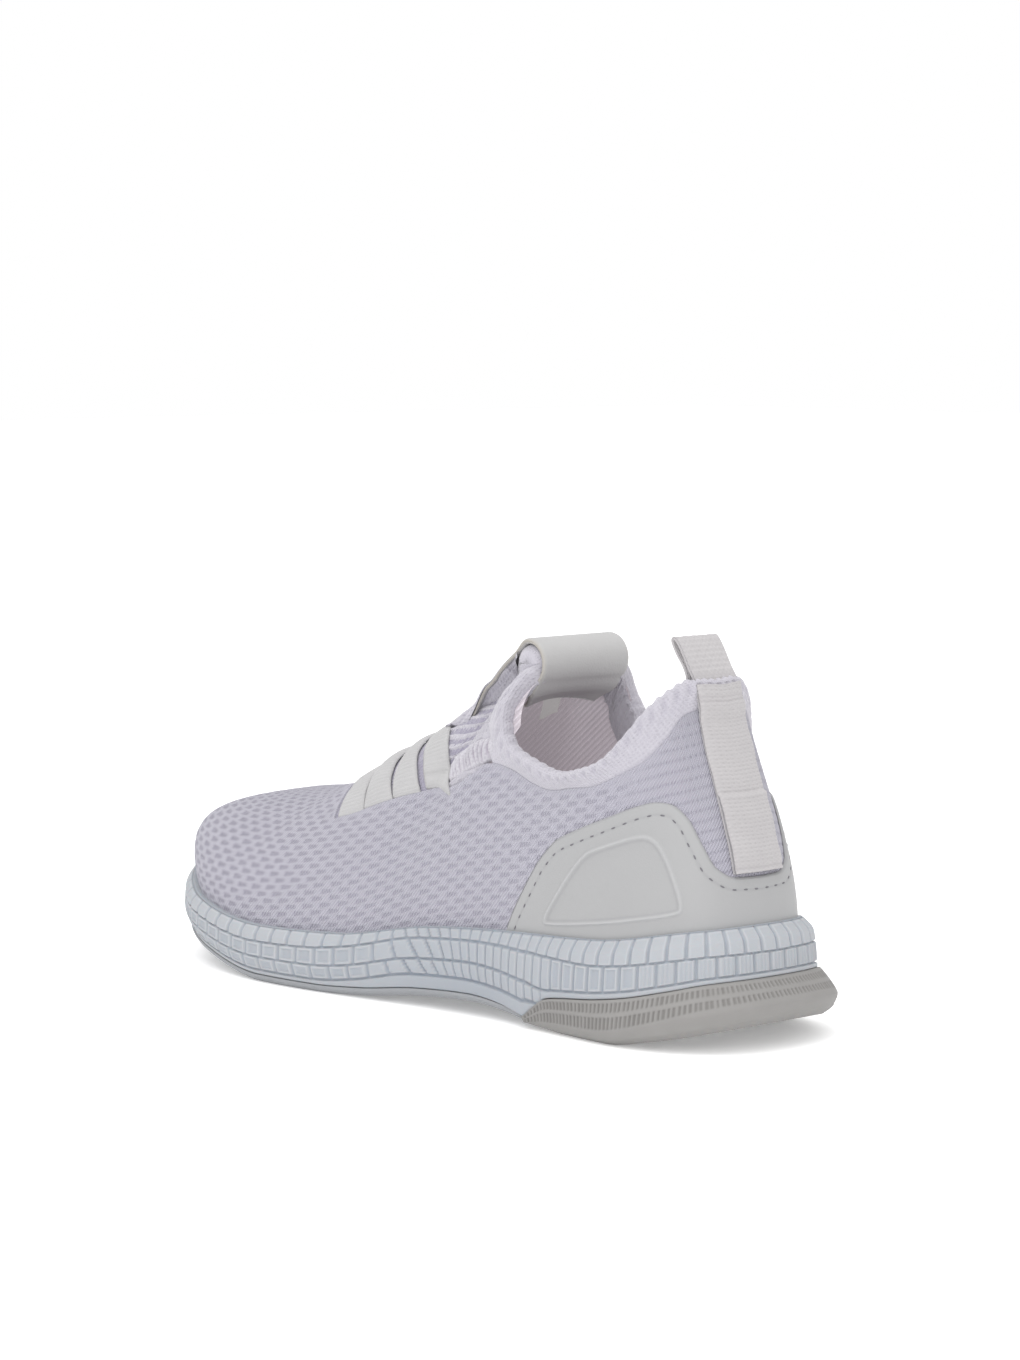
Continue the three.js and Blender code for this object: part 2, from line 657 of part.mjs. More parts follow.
// The heel's webbing loop: a drop-shaped ring on a short root, leaning forward.
const HEEL_LOOP = { root: [34.6, 116.8], top: [41.5, 131], width: 9 };
function heelLoop() {
  const [rootY, rootZ] = HEEL_LOOP.root;
  const height = Math.hypot(HEEL_LOOP.top[0] - rootY, HEEL_LOOP.top[1] - rootZ);
  const turn = Math.atan2(HEEL_LOOP.top[0] - rootY, HEEL_LOOP.top[1] - rootZ);
  const steps = 20;
  const drop = (inset) => Array.from({ length: steps }, (_, i) => {
    const angle = (2 * Math.PI * i) / steps;
    const along = height / 2 - (height / 2 - inset) * Math.cos(angle);
    const taper = 0.62 + 0.38 * Math.sin(Math.PI * (along / height - 0.5));
    const half = (HEEL_LOOP.width / 2 - inset) * Math.sin(angle) * taper;
    return [
      rootY + half * Math.cos(turn) + along * Math.sin(turn),
      rootZ - half * Math.sin(turn) + along * Math.cos(turn),
    ];
  });
  return spread(drop(0), [drop(WEBBING_THICK).reverse()], WEBBING_WIDTH);
}

// ---- The shoe ----
const COLOURS = {
  foam: 0xd2dae2,
  rubber: 0xb0adaa,
  tread: 0xbfc3c6,
  mesh: 0xcfcdd8,
  knit: 0xc9c6d2,
  film: 0xc6c6c6,
  webbing: 0xd3d1cf,
  strap: 0xcfcfcd,
  lining: 0xada2ad,
  board: 0xd8d4c8,
  plastic: 0xe4e2dc,
  padding: 0xe8e4cf,
};
const PIECES = [
  ["midsole", midsole(), "foam", 0.6],
  ["heel_outsole", heelOutsole(), "rubber", 0.7],
  ["forefoot_outsole", forefootOutsole(), "tread", 0.7],
  ["strobel_board", strobelBoard(), "board", 0.9],
  ["insole", insole(), "lining", 0.9],
  ["upper_mesh", upperMesh(), "mesh", 0.85],
  ["lining", lining(), "lining", 0.95],
  ["heel_counter", heelCounter(), "plastic", 0.5],
  ["toe_puff", toePuff(), "plastic", 0.5],
  ["collar_foam", collarFoam(), "padding", 0.9],
  ["collar_binding", binding(0, COLLAR_SPLIT), "knit", 0.9],
  ["tongue_binding", binding(COLLAR_SPLIT + 0.12, 8.4), "knit", 0.9],
  ["tongue_knit", tongueKnit(), "knit", 0.9],
  ["throat_knit", throatKnit(), "knit", 0.9],
  ["tongue_padding", tonguePadding(), "padding", 0.9],
  ["tongue_tape", tongueTape(), "strap", 0.6],
  ["tongue_anchor_patch", anchorPatch(), "strap", 0.6],
  ["tongue_pull_loop", tongueLoop(), "strap", 0.6],
  ["heel_overlay", overlay(0, OVERLAY_FRONT, overlayTop), "film", 0.45],
  ["toe_bumper", overlay(14.5, TOE, bumperTop), "film", 0.45],
  ["heel_webbing", heelWebbing(), "webbing", 0.8],
  ["heel_pull_loop", heelLoop(), "webbing", 0.8],
  ...BANDS.map((band, i) => [`throat_band_${i + 1}`, elasticBand(band), "webbing", 0.8]),
];

const shoe = new THREE.Group();
for (const [name, geometry, colour, roughness] of PIECES) {
  const material = new THREE.MeshStandardMaterial({ color: COLOURS[colour], roughness, metalness: 0 });
  const mesh = new THREE.Mesh(geometry, material);
  mesh.name = name;
  shoe.add(mesh);
}
const middle = new THREE.Box3().setFromObject(shoe).getCenter(new THREE.Vector3());
shoe.position.set(-middle.x, -middle.y, 0);

export default shoe;
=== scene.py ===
import json
import math

import bpy
import numpy as np
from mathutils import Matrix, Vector

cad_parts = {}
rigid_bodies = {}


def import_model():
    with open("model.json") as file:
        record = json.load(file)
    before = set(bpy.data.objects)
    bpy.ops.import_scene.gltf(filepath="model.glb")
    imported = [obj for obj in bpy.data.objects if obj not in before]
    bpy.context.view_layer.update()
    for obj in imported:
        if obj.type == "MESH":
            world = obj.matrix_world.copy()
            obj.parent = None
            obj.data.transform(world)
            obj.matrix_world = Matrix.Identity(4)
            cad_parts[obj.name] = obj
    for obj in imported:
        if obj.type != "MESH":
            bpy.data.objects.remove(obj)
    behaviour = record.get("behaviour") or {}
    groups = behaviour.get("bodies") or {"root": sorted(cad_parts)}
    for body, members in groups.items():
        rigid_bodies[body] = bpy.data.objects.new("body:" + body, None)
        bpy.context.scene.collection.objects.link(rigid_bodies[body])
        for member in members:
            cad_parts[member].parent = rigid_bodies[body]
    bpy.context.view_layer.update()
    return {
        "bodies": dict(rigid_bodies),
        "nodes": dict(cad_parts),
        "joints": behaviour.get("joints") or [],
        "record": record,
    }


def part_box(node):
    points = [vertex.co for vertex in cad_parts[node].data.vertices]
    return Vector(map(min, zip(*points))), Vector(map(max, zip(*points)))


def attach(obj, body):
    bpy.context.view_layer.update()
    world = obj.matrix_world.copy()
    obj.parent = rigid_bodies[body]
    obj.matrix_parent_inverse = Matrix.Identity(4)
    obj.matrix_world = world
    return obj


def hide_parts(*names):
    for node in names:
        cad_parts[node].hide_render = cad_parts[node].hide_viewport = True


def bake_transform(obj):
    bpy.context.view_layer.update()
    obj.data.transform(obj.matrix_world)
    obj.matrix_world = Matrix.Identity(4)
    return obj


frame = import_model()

# Lengths here are millimetres from the heel datum of the CAD: +Y to the toe, +Z up, -X lateral.
MM = 0.001
ROLL = {"y": 103.4, "z": 119.2, "radius": 8.5}  # the strap's roll over the tongue's top
LOOP_LOW, LOOP_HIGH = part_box("tongue_pull_loop")
JOINT_POINT = {j["name"]: j["pos_m"] for j in frame["joints"]}
ORIGIN = np.array([
    (LOOP_LOW.x + LOOP_HIGH.x) / 2,
    JOINT_POINT["tongue_loop_flex"][1] - ROLL["y"] * MM,
    0.0,
])


def world(points):
    """From the CAD's datum in millimetres to the frame in metres."""
    return np.asarray(points, float) * MM + ORIGIN


# ---- The upper's surface: signed station s (lateral below 0), height share t, distance out ----
TOE = 16
TONGUE_TOP = 8
# lateral x, y; medial x, y; top x, y, z; lean; rise; reach; finish out, forward, up
STATIONS = np.array([
    (0, 11, 0, 11, 0, 33, 116.5, -4, 0.33, 0.33, 0, -0.24, -0.97),
    (-20, 16, 20, 16, 13, 36, 116, -3, 0.33, 0.33, 0.12, -0.17, -0.98),
    (-32, 35, 32, 35, 25, 46, 105, 0, 0.33, 0.33, 0.13, -0.05, -0.99),
    (-36.5, 60, 35, 60, 31.5, 62, 92, 2, 0.33, 0.33, 0.1, -0.01, -0.99),
    (-37.5, 84, 34, 84, 32, 79, 87, 2, 0.33, 0.33, 0.1, 0, -0.99),
    (-38, 104, 33, 104, 31, 97, 96, 2, 0.32, 0.33, 0.16, 0.4, -0.9),
    (-39.5, 121, 33, 121, 27, 100, 109.5, 0, 0.29, 0.29, 0.25, 0.86, -0.45),
    (-42, 138, 34.5, 138, 18, 98.8, 118.3, -2, 0.26, 0.26, 0.38, 0.82, -0.42),
    (-45, 155, 37, 155, 0, 100.3, 119.7, -3, 0.24, 0.24, 0.72, 0.65, -0.23),
    (-48.5, 175, 41, 175, 0, 118, 114, -3, 0.23, 0.22, 0.87, 0.45, -0.21),
    (-51, 195, 44.5, 195, 0, 145, 99.5, -2, 0.23, 0.22, 0.97, 0.2, -0.1),
    (-51.5, 215, 46, 215, 0, 173, 85, 1, 0.25, 0.24, 1, 0, 0),
    (-49, 236, 45, 236, 0, 200, 70.5, 6, 0.32, 0.31, 1, 0, 0),
    (-42.5, 256, 41.5, 256, 0, 224, 65.2, 12, 0.42, 0.42, 0.95, 0.2, -0.03),
    (-31, 273, 34, 273, 0, 242, 62.8, 18, 0.5, 0.52, 0.85, 0.42, -0.08),
    (-14, 286, 21, 286, 0, 253, 60, 20, 0.5, 0.55, 0.6, 0.8, -0.2),
    (5, 291, 5, 291, 0, 257, 58.6, 20, 0.5, 0.55, 0, 1, -0.25),
])
LATERAL_LINE, MEDIAL_LINE, TOP_LINE = STATIONS[:, 0:2], STATIONS[:, 2:4], STATIONS[:, 4:7]
LEAN, RISE, REACH, FINISH = STATIONS[:, 7], STATIONS[:, 8], STATIONS[:, 9], STATIONS[:, 10:13]


def profile(*points):
    """A smooth curve through the points that never overshoots between them."""
    x, y = np.array(points, float).T
    slope = np.diff(y) / np.diff(x)
    product = slope[:-1] * slope[1:]
    total = np.where(product > 0, slope[:-1] + slope[1:], 1)
    tangent = np.concatenate([slope[:1], np.where(product > 0, 2 * product / total, 0), slope[-1:]])

    def value(at):
        at = np.clip(at, x[0], x[-1])
        i = np.clip(np.searchsorted(x, at, side="right") - 1, 0, len(x) - 2)
        h = x[i + 1] - x[i]
        f = (at - x[i]) / h
        bend = h * f * (1 - f) * ((1 - f) * tangent[i] - f * tangent[i + 1])
        return y[i] + (y[i + 1] - y[i]) * f * f * (3 - 2 * f) + bend

    return value


def smooth(low, high, x):
    f = np.clip((x - low) / (high - low), 0, 1)
    return f * f * (3 - 2 * f)


def ripple(x, pitch, phase=0.0):
    return np.sin(2 * np.pi * x / pitch + phase)


def spread(count, low=0, high=1):
    """A row of even steps, to cross with a column of stations."""
    return np.linspace(low, high, count)[None, :]


def unit(v):
    return v / np.maximum(np.linalg.norm(v, axis=-1, keepdims=True), 1e-9)


def run_along(points):
    """Distance along a line of points from its first."""
    return np.concatenate([[0], np.cumsum(np.linalg.norm(np.diff(points, axis=0), axis=1))])


def catmull_rom(a, b, c, d, f):
    """The curve from b to c, as f goes from 0 to 1, with a before it and d after it."""
    return 0.5 * (2 * b + (c - a) * f + (2 * a - 5 * b + 4 * c - d) * f**2 + (3 * b - a - 3 * c + d) * f**3)


def along(rows, u):
    """A smooth curve through the rows; its ends mirror across the shoe's middle."""
    first, last = rows[1].copy(), rows[-2].copy()
    first[0], last[0] = 2 * rows[0, 0] - first[0], 2 * rows[-1, 0] - last[0]
    knots = np.vstack([first, rows, last])
    i = np.clip(np.floor(u).astype(int), 0, len(rows) - 2)
    return catmull_rom(*(knots[i + k] for k in range(4)), (u - i)[..., None])


feather_height = profile(
    (0, 41), (20, 38), (50, 33), (90, 31), (130, 28), (170, 21.5), (210, 20), (250, 24), (275, 30), (292, 36)
)
ground_clearance = profile(
    (-6, 11), (8, 7), (25, 3), (44, 0), (66, 0), (80, 1.2), (94, 3.6), (110, 4.8), (132, 4), (160, 1),
    (180, 0), (208, 0), (240, 4.5), (270, 11), (300, 19),
)
HEEL_RUBBER_END = 81
HEEL_RUBBER_STATION = 3.87
heel_split = profile(
    (-6, 25), (10, 22.6), (20, 20), (35, 16.5), (48, 14.6), (60, 13.4), (68, 12.2), (HEEL_RUBBER_END, 4.3)
)


def plan(side, u):
    """The sole's outline from above, where the upper meets it."""
    return np.where(side[..., None] < 0, along(LATERAL_LINE, u), along(MEDIAL_LINE, u))


def split_side(s):
    s = np.asarray(s, float)
    return np.where(s < 0, -1.0, 1.0), np.abs(s)


def feather(side, u):
    """The line where the upper meets the sole."""
    p = plan(side, u)
    return np.concatenate([p, feather_height(p[..., 1])[..., None]], -1)


def crest(side, u):
    """The upper's top line: the collar's edge, then the ridge over the foot."""
    p = along(TOP_LINE, u)
    p[..., 0] = np.where(u < TONGUE_TOP, p[..., 0] * side, 0)
    return p


def outward(side, u):
    """The level direction out of the shoe, square to its outline."""
    d = plan(side, np.minimum(u + 0.01, TOE)) - plan(side, np.maximum(u - 0.01, 0))
    out = unit(np.stack([d[..., 1] * side, -d[..., 0] * side, np.zeros_like(u)], -1))
    out[u <= 0] = (0, -1, 0)
    out[u >= TOE] = (0, 1, 0)
    return out


def station_value(values, u):
    return np.interp(u, np.arange(len(values)), values)[..., None]


def section(side, u, t):
    """A point of the upper: a curve from the sole's line at t = 0 to the top line at t = 1."""
    low, high = feather(side, u), crest(side, u)
    span = np.linalg.norm(high - low, axis=-1, keepdims=True)
    lean = np.radians(station_value(LEAN, u))
    start = np.array([0, 0, 1.0]) * np.cos(lean) + outward(side, u) * np.sin(lean)
    finish = np.concatenate([station_value(FINISH[:, k], u) for k in range(3)], -1)
    finish[..., 0] *= side
    a = low + start * span * station_value(RISE, u)
    b = high + unit(finish) * span * station_value(REACH, u)
    t = t[..., None]
    return (1 - t) ** 3 * low + 3 * (1 - t) ** 2 * t * a + 3 * (1 - t) * t * t * b + t**3 * high


def side_normal(side, u, t, step=0.02):
    u, t = np.clip(u, step, TOE - step), np.clip(t, step, 1 - step)
    du = section(side, u + step, t) - section(side, u - step, t)
    dt = section(side, u, t + step) - section(side, u, t - step)
    return unit(np.cross(du, dt) * side[..., None])


def surface(s, t):
    """Points and normals of the upper at signed stations and height shares."""
    s, t = np.broadcast_arrays(np.asarray(s, float), np.asarray(t, float))
    side, u = split_side(s)
    normal = side_normal(side, u, t)
    seam = (u <= 0) | (u >= TOE) | ((t >= 0.9999) & (u >= TONGUE_TOP))
    if seam.any():
        both = normal[seam] + side_normal(-side[seam], u[seam], t[seam])
        both[..., 0] = 0
        normal[seam] = unit(both)
    return section(side, u, t), normal


def skin(s, t, out):
    point, normal = surface(s, t)
    return point + normal * np.broadcast_to(out, point.shape[:-1])[..., None]


def sole_point(s, distance, height):
    """A point a distance outside the feather line, at a height that may depend on its y."""
    side, u = split_side(s)
    p = feather(side, u) + outward(side, u) * np.broadcast_to(distance, u.shape)[..., None]
    p[..., 2] = height(p[..., 1]) if callable(height) else height
    return p


def centre_line(s, distance):
    """Half way between the two sides of the sole, each a distance outside the feather line."""
    return (sole_point(np.abs(s), distance, 0.0) + sole_point(-np.abs(s), distance, 0.0)) / 2


SAMPLES = np.linspace(-TOE, TOE, 3201)


def girth_at(height):
    """Distance along the upper from the heel seam, signed like the station, at a height share."""
    run = run_along(section(*split_side(SAMPLES), np.full(SAMPLES.shape, height)))
    return run - np.interp(0, SAMPLES, run)


GIRTH = girth_at(0.3)


def girth(s):
    return np.interp(s, SAMPLES, GIRTH)


def columns(start, stop, step):
    """Signed stations an equal distance apart along the upper."""
    a, b = girth(start), girth(stop)
    count = max(int(round(abs(b - a) / step)), 2)
    s = np.interp(np.linspace(a, b, count + 1), GIRTH, SAMPLES)
    s[0], s[-1] = start, stop
    return s


def height_length(s):
    """Length of a section from the sole to the top line."""
    wide, t = np.meshgrid(s, np.linspace(0, 1, 33), indexing="ij")
    grid = section(*split_side(wide), t)
    return np.linalg.norm(np.diff(grid, axis=1), axis=-1).sum(1)


HEIGHT_STATIONS = np.linspace(-TOE, TOE, 257)
HEIGHTS = height_length(HEIGHT_STATIONS)


def flat(s, t):
    """The upper laid flat: distance round the shoe and distance up it."""
    x, y = np.broadcast_arrays(girth(s), np.interp(s, HEIGHT_STATIONS, HEIGHTS) * t)
    return x.copy(), y.copy()


# ---- Edges on the upper ----
THROAT_EDGE = 0.44
THROAT_FRONT = {"edge": 10.43, "ridge": 11.78}
TONGUE_FRONT = {"edge": 7.12, "ridge": 10.14}
BANDS = (
    {"edge": (9.7, 10.33), "ridge": (11.4, 11.72), "bulge": 0.2, "widening": 0},
    {"edge": (9.0, 9.7), "ridge": (11.06, 11.34), "bulge": 1.2, "widening": 0},
    {"edge": (8.27, 9.0), "ridge": (10.67, 10.86), "bulge": 0.8, "widening": 0},
    {"edge": (7.2, 8.1), "ridge": (10.18, 10.53), "bulge": 0.2, "widening": 0.75},
)
COLLAR_SPLIT = 5.3
BINDING_END = 8.4


def throat_line(edge, ridge, t):
    """Station, at a height, of a line that crosses the throat."""
    share = np.clip((1 - t) / (1 - THROAT_EDGE), 0, 1)
    return ridge - (ridge - edge) * share**2


def throat_line_height(edge, ridge, u):
    """The same line the other way: its height at a station."""
    share = np.clip((ridge - u) / (ridge - edge), 0, 1)
    return 1 - (1 - THROAT_EDGE) * np.sqrt(share)


quarter_top = profile(
    (0, 0.9), (1, 0.88), (1.4, 0.82), (1.9, 0.78), (2.6, 0.8), (3.6, 0.87), (4.6, 0.865), (5, 0.83),
    (5.45, 0.74), (5.93, 0.59), (6.5, 0.51), (7.2, 0.47), (8.5, 0.45), (10.43, 0.44),
)
tongue_binding_low = profile(
    (5.2, 0.81), (5.75, 0.79), (6.2, 0.79), (7, 0.82), (7.6, 0.87), (8, 0.93), (8.4, 1)
)
overlay_top = profile(
    (0, 0.2), (0.5, 0.205), (0.8, 0.25), (1, 0.36), (1.15, 0.46), (1.4, 0.545), (1.75, 0.59), (2.15, 0.605),
    (2.8, 0.615), (3.2, 0.6), (3.5, 0.575), (3.85, 0.46), (4.2, 0.2), (4.45, 0.02),
)
bumper_top = profile((14.4, 0.03), (15.2, 0.3), (16, 0.42))

roll_top = profile(
    (0, 1), (1.3, 1), (1.55, 1), (1.85, 0.985), (2.15, 0.95), (2.65, 0.91), (3.4, 0.94), (4.2, 0.965),
    (5.1, 0.925), (5.7, 0.92), (6.3, 0.97), (6.9, 1),
)


def mesh_top(u):
    """Height of the mesh's cut edge."""
    front = throat_line_height(THROAT_FRONT["edge"], THROAT_FRONT["ridge"], u)
    return np.where(u < THROAT_FRONT["edge"], quarter_top(u), front)


# ---- Meshes ----
def grid_faces(n, m):
    a = (np.arange(n - 1)[:, None] * m + np.arange(m - 1)).ravel()
    return np.stack([a, a + m, a + m + 1, a + 1], -1)


class Build:
    """Gathers grids of points into one welded mesh, with a UV in millimetres and a shade for each point."""

    def __init__(self):
        self.points, self.uvs, self.shades, self.faces, self.count = [], [], [], [], 0

    def grid(self, points, uv=None, shade=0.0, flip=False):
        n, m = points.shape[:2]
        if uv is None:
            uv = np.stack(np.meshgrid(np.arange(n), np.arange(m), indexing="ij"), -1)
        faces = grid_faces(n, m) + self.count
        self.faces.append(faces[:, ::-1] if flip else faces)
        self.points.append(points.reshape(-1, 3))
        self.uvs.append(np.broadcast_to(uv, (n, m, 2)).reshape(-1, 2))
        self.shades.append(np.broadcast_to(shade, (n, m)).reshape(-1))
        self.count += n * m
        return self

    def plate(self, outer, inner, uv=None, shade=0.0, flip=False):
        """Two facing grids and the four edges between them."""
        self.grid(outer, uv, shade, flip)
        self.grid(inner, uv, shade, not flip)
        n, m = outer.shape[:2]
        edges = ((slice(None), 0, 0), (slice(None), m - 1, 1), (0, slice(None), 1), (n - 1, slice(None), 0))
        for i, j, turned in edges:
            wall = np.stack([outer[i, j], inner[i, j]], 1)
            side_uv = None if uv is None else np.stack([uv[i, j], uv[i, j]], 1)
            self.grid(wall, side_uv, 0.0, flip != bool(turned))
        return self

    def object(self, name, material, body=None, replaces=(), slot=None, smooth_faces=True):
        points = np.concatenate(self.points)
        faces = np.concatenate(self.faces)
        _, first, same = np.unique(np.round(points, 3), axis=0, return_index=True, return_inverse=True)
        same = same.reshape(-1)
        welded = same[faces]
        loops = faces.ravel()
        corner = welded.ravel()
        keep = (welded != np.roll(welded, 1, axis=1)).ravel()
        sizes = keep.reshape(-1, 4).sum(1)
        whole = (sizes >= 3) & (welded[:, 0] != welded[:, 2]) & (welded[:, 1] != welded[:, 3])
        keep &= np.repeat(whole, 4)
        loops, corner, sizes = loops[keep], corner[keep], sizes[whole]
        mesh = bpy.data.meshes.new(name)
        mesh.vertices.add(len(first))
        mesh.vertices.foreach_set("co", world(points[first]).ravel())
        mesh.loops.add(len(corner))
        mesh.loops.foreach_set("vertex_index", corner.astype(np.int32))
        mesh.polygons.add(len(sizes))
        starts = np.concatenate([[0], np.cumsum(sizes)[:-1]])
        mesh.polygons.foreach_set("loop_start", starts.astype(np.int32))
        mesh.polygons.foreach_set("use_smooth", np.full(len(sizes), smooth_faces))
        layer = mesh.uv_layers.new(name="UVMap")
        layer.data.foreach_set("uv", np.concatenate(self.uvs)[loops].astype(np.float32).ravel())
        shade = mesh.attributes.new("shade", "FLOAT", "POINT")
        shade.data.foreach_set("value", np.concatenate(self.shades)[first].astype(np.float32))
        mesh.update(calc_edges=True)
        mesh.materials.append(material)
        made = bpy.data.objects.new(name, mesh)
        bpy.context.scene.collection.objects.link(made)
        if body:
            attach(made, body)
        if replaces:
            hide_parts(*replaces)
        return made


# ---- Materials ----
STUDIO_GAIN = 0.625  # the studio's light lifts a paint by the inverse of this


def rgb(r, g, b):
    """The paint that shows as this screen colour, 0 to 255, under the studio's light."""
    c = np.array([r, g, b], float) / 255
    linear = np.where(c <= 0.04045, c / 12.92, ((c + 0.055) / 1.055) ** 2.4)
    return tuple(linear * STUDIO_GAIN) + (1.0,)


class Field:
    """A number that varies over a surface, made by shader nodes."""

    def __init__(self, tree, socket):
        self.tree, self.socket = tree, socket

    def math(self, operation, *others, clamp=False):
        node = self.tree.nodes.new("ShaderNodeMath")
        node.operation, node.use_clamp = operation, clamp
        for place, value in zip(node.inputs, (self, *others)):
            if isinstance(value, Field):
                self.tree.links.new(value.socket, place)
            else:
                place.default_value = value
        return Field(self.tree, node.outputs[0])

    def __add__(self, other):
        return self.math("ADD", other)

    def __sub__(self, other):
        return self.math("SUBTRACT", other)

    def __mul__(self, other):
        return self.math("MULTIPLY", other)

    def fraction(self):
        return self.math("FRACT")

    def wave(self, turns=1.0):
        """A sine of this field, one turn for each 1/turns, from 0 to 1."""
        return (self * (2 * math.pi * turns)).math("SINE") * 0.5 + 0.5

    def band(self, centre, half, soft):
        """1 within half of the centre, falling to 0 over soft."""
        return ((self - centre).math("ABSOLUTE") * (-1 / soft)).math("ADD", half / soft + 0.5, clamp=True)


class Paint:
    """A Principled material under construction."""

    def __init__(self, name, roughness=0.8, sheen=0.0, specular=0.4, subsurface=0.0):
        self.material = bpy.data.materials.new(name)
        self.material.use_nodes = True
        self.tree = self.material.node_tree
        self.shader = self.tree.nodes["Principled BSDF"]
        self.shader.inputs["Roughness"].default_value = roughness
        self.shader.inputs["Specular IOR Level"].default_value = specular
        self.shader.inputs["Sheen Weight"].default_value = sheen
        self.shader.inputs["Subsurface Weight"].default_value = subsurface
        self.shader.inputs["Subsurface Scale"].default_value = 0.002
        uv = self.tree.nodes.new("ShaderNodeTexCoord")
        split = self.tree.nodes.new("ShaderNodeSeparateXYZ")
        self.tree.links.new(uv.outputs["UV"], split.inputs[0])
        self.place = uv.outputs["Object"]
        self.x, self.y = Field(self.tree, split.outputs[0]), Field(self.tree, split.outputs[1])
        shade = self.tree.nodes.new("ShaderNodeAttribute")
        shade.attribute_name = "shade"
        self.shade = Field(self.tree, shade.outputs["Fac"])
        self.colour = None

    def noise(self, size, detail=3.0, stretch=None):
        """Noise with features of a size in millimetres."""
        node = self.tree.nodes.new("ShaderNodeTexNoise")
        node.inputs["Scale"].default_value = 1 / (size * MM)
        node.inputs["Detail"].default_value = detail
        source = self.place
        if stretch:
            mapping = self.tree.nodes.new("ShaderNodeMapping")
            mapping.inputs["Scale"].default_value = stretch
            self.tree.links.new(source, mapping.inputs["Vector"])
            source = mapping.outputs[0]
        self.tree.links.new(source, node.inputs["Vector"])
        return Field(self.tree, node.outputs["Fac"])

    def cells(self, size):
        node = self.tree.nodes.new("ShaderNodeTexVoronoi")
        node.inputs["Scale"].default_value = 1 / (size * MM)
        self.tree.links.new(self.place, node.inputs["Vector"])
        return Field(self.tree, node.outputs["Distance"])

    def mix(self, factor, colour):
        """Lays a colour over what is there so far, by a factor that varies."""
        if self.colour is None:
            raise ValueError("start with base()")
        node = self.tree.nodes.new("ShaderNodeMix")
        node.data_type = "RGBA"
        self.tree.links.new(factor.socket, node.inputs[0])
        if isinstance(self.colour, tuple):
            node.inputs[6].default_value = self.colour
        else:
            self.tree.links.new(self.colour, node.inputs[6])
        node.inputs[7].default_value = colour
        self.colour = node.outputs[2]
        return self

    def base(self, colour):
        self.colour = colour
        return self

    def relief(self, height, depth):
        """Bump: height runs from 0 to 1 over a depth in millimetres."""
        node = self.tree.nodes.new("ShaderNodeBump")
        node.inputs["Distance"].default_value = depth * MM
        node.inputs["Strength"].default_value = 1.0
        self.tree.links.new(height.socket, node.inputs["Height"])
        self.tree.links.new(node.outputs[0], self.shader.inputs["Normal"])
        return self

    def rough(self, field, low, high):
        value = (field * (high - low)) + low
        self.tree.links.new(value.socket, self.shader.inputs["Roughness"])
        return self

    def glow(self, colour, strength):
        """Painted light: a glow of its own, standing in for the light that bounces between soft pieces."""
        self.shader.inputs["Emission Color"].default_value = colour
        self.shader.inputs["Emission Strength"].default_value = strength
        return self

    def done(self):
        if isinstance(self.colour, tuple):
            self.shader.inputs["Base Color"].default_value = self.colour
        else:
            self.tree.links.new(self.colour, self.shader.inputs["Base Color"])
        return self.material


SLITS = 10.0  # to each dash of the mesh


def mesh_material():
    """Engineered mesh: shade is 1 in the dashes, which take painted shade, darkest in their slits; x counts
    dashes and y counts rows.
    """
    p = Paint("engineered_mesh", roughness=0.85, sheen=0.2)
    slit = (p.x * SLITS).fraction().band(0.5, 0.2, 0.3)
    twill = (p.x * 5.5 + p.y * 1.5).wave()
    grid = (p.x * 15.0 - p.y * 1.0).wave() * (p.y * 4.0).wave()
    uneven = p.noise(14, 2)
    p.base(rgb(212, 210, 222))
    p.mix(uneven * 0.35, rgb(203, 200, 214))
    p.mix(twill * 0.55, rgb(186, 183, 198))
    p.mix(grid * 0.3, rgb(186, 182, 200))
    # painted shade of the mesh's openings: darker in the dashes, darkest in their slits
    p.mix(p.shade * 0.3, rgb(158, 153, 174))
    p.mix(p.shade * slit * 0.5, rgb(112, 106, 130))
    p.relief(twill * 0.8 + grid * 0.4 - p.shade * slit * 0.7, 0.32)
    return p.done()


def knit_material(name, light, dark, pitch=1.3, fuzz=0.35, glow=0.0):
    """Soft knit in fine ribs along x, with a fuzzy nap."""
    p = Paint(name, roughness=0.9, sheen=0.35)
    ribs = (p.y * (1 / pitch)).wave()
    loops = (p.x * (1 / pitch) + p.y * (0.5 / pitch)).wave()
    nap = p.noise(0.9, 5)
    tuft = p.noise(3.5, 3)
    p.base(light)
    p.mix(ribs * loops * 0.22, dark)
    p.mix(nap * fuzz, dark)
    p.mix(tuft * fuzz, dark)
    # painted shade in folds, dimples, scallops and puckers; also darker along the roll's outer seam
    p.mix(p.shade * 0.9, dark)
    p.relief(ribs * loops * 0.5 + nap + tuft, 0.35)
    # painted light: the knit glows by the given strength
    p.glow(light, glow)
    return p.done()


def lining_material():
    """Ribbed lining: the ribs climb at a slant; shade is 1 in a fuzzy band of painted shade at the bottom."""
    p = Paint("lining_rib", roughness=0.9, sheen=0.3)
    ribs = p.x.wave(1 / 1.6)
    nap = p.noise(0.9, 4)
    tuft = p.noise(2.6, 4)
    p.base(rgb(232, 224, 232))
    p.mix(ribs * 0.6, rgb(176, 166, 174))
    p.mix(nap * 0.2, rgb(160, 146, 158))
    # painted shade low in the shoe, darker and pinker in fuzzy patches
    p.mix(p.shade * tuft, rgb(176, 142, 150))
    p.relief(ribs * -1 + nap * 0.3, 0.5)
    # painted light: the lining glows, to lift the shoe's shaded inside
    p.glow(rgb(200, 191, 196), 0.54)
    return p.done()


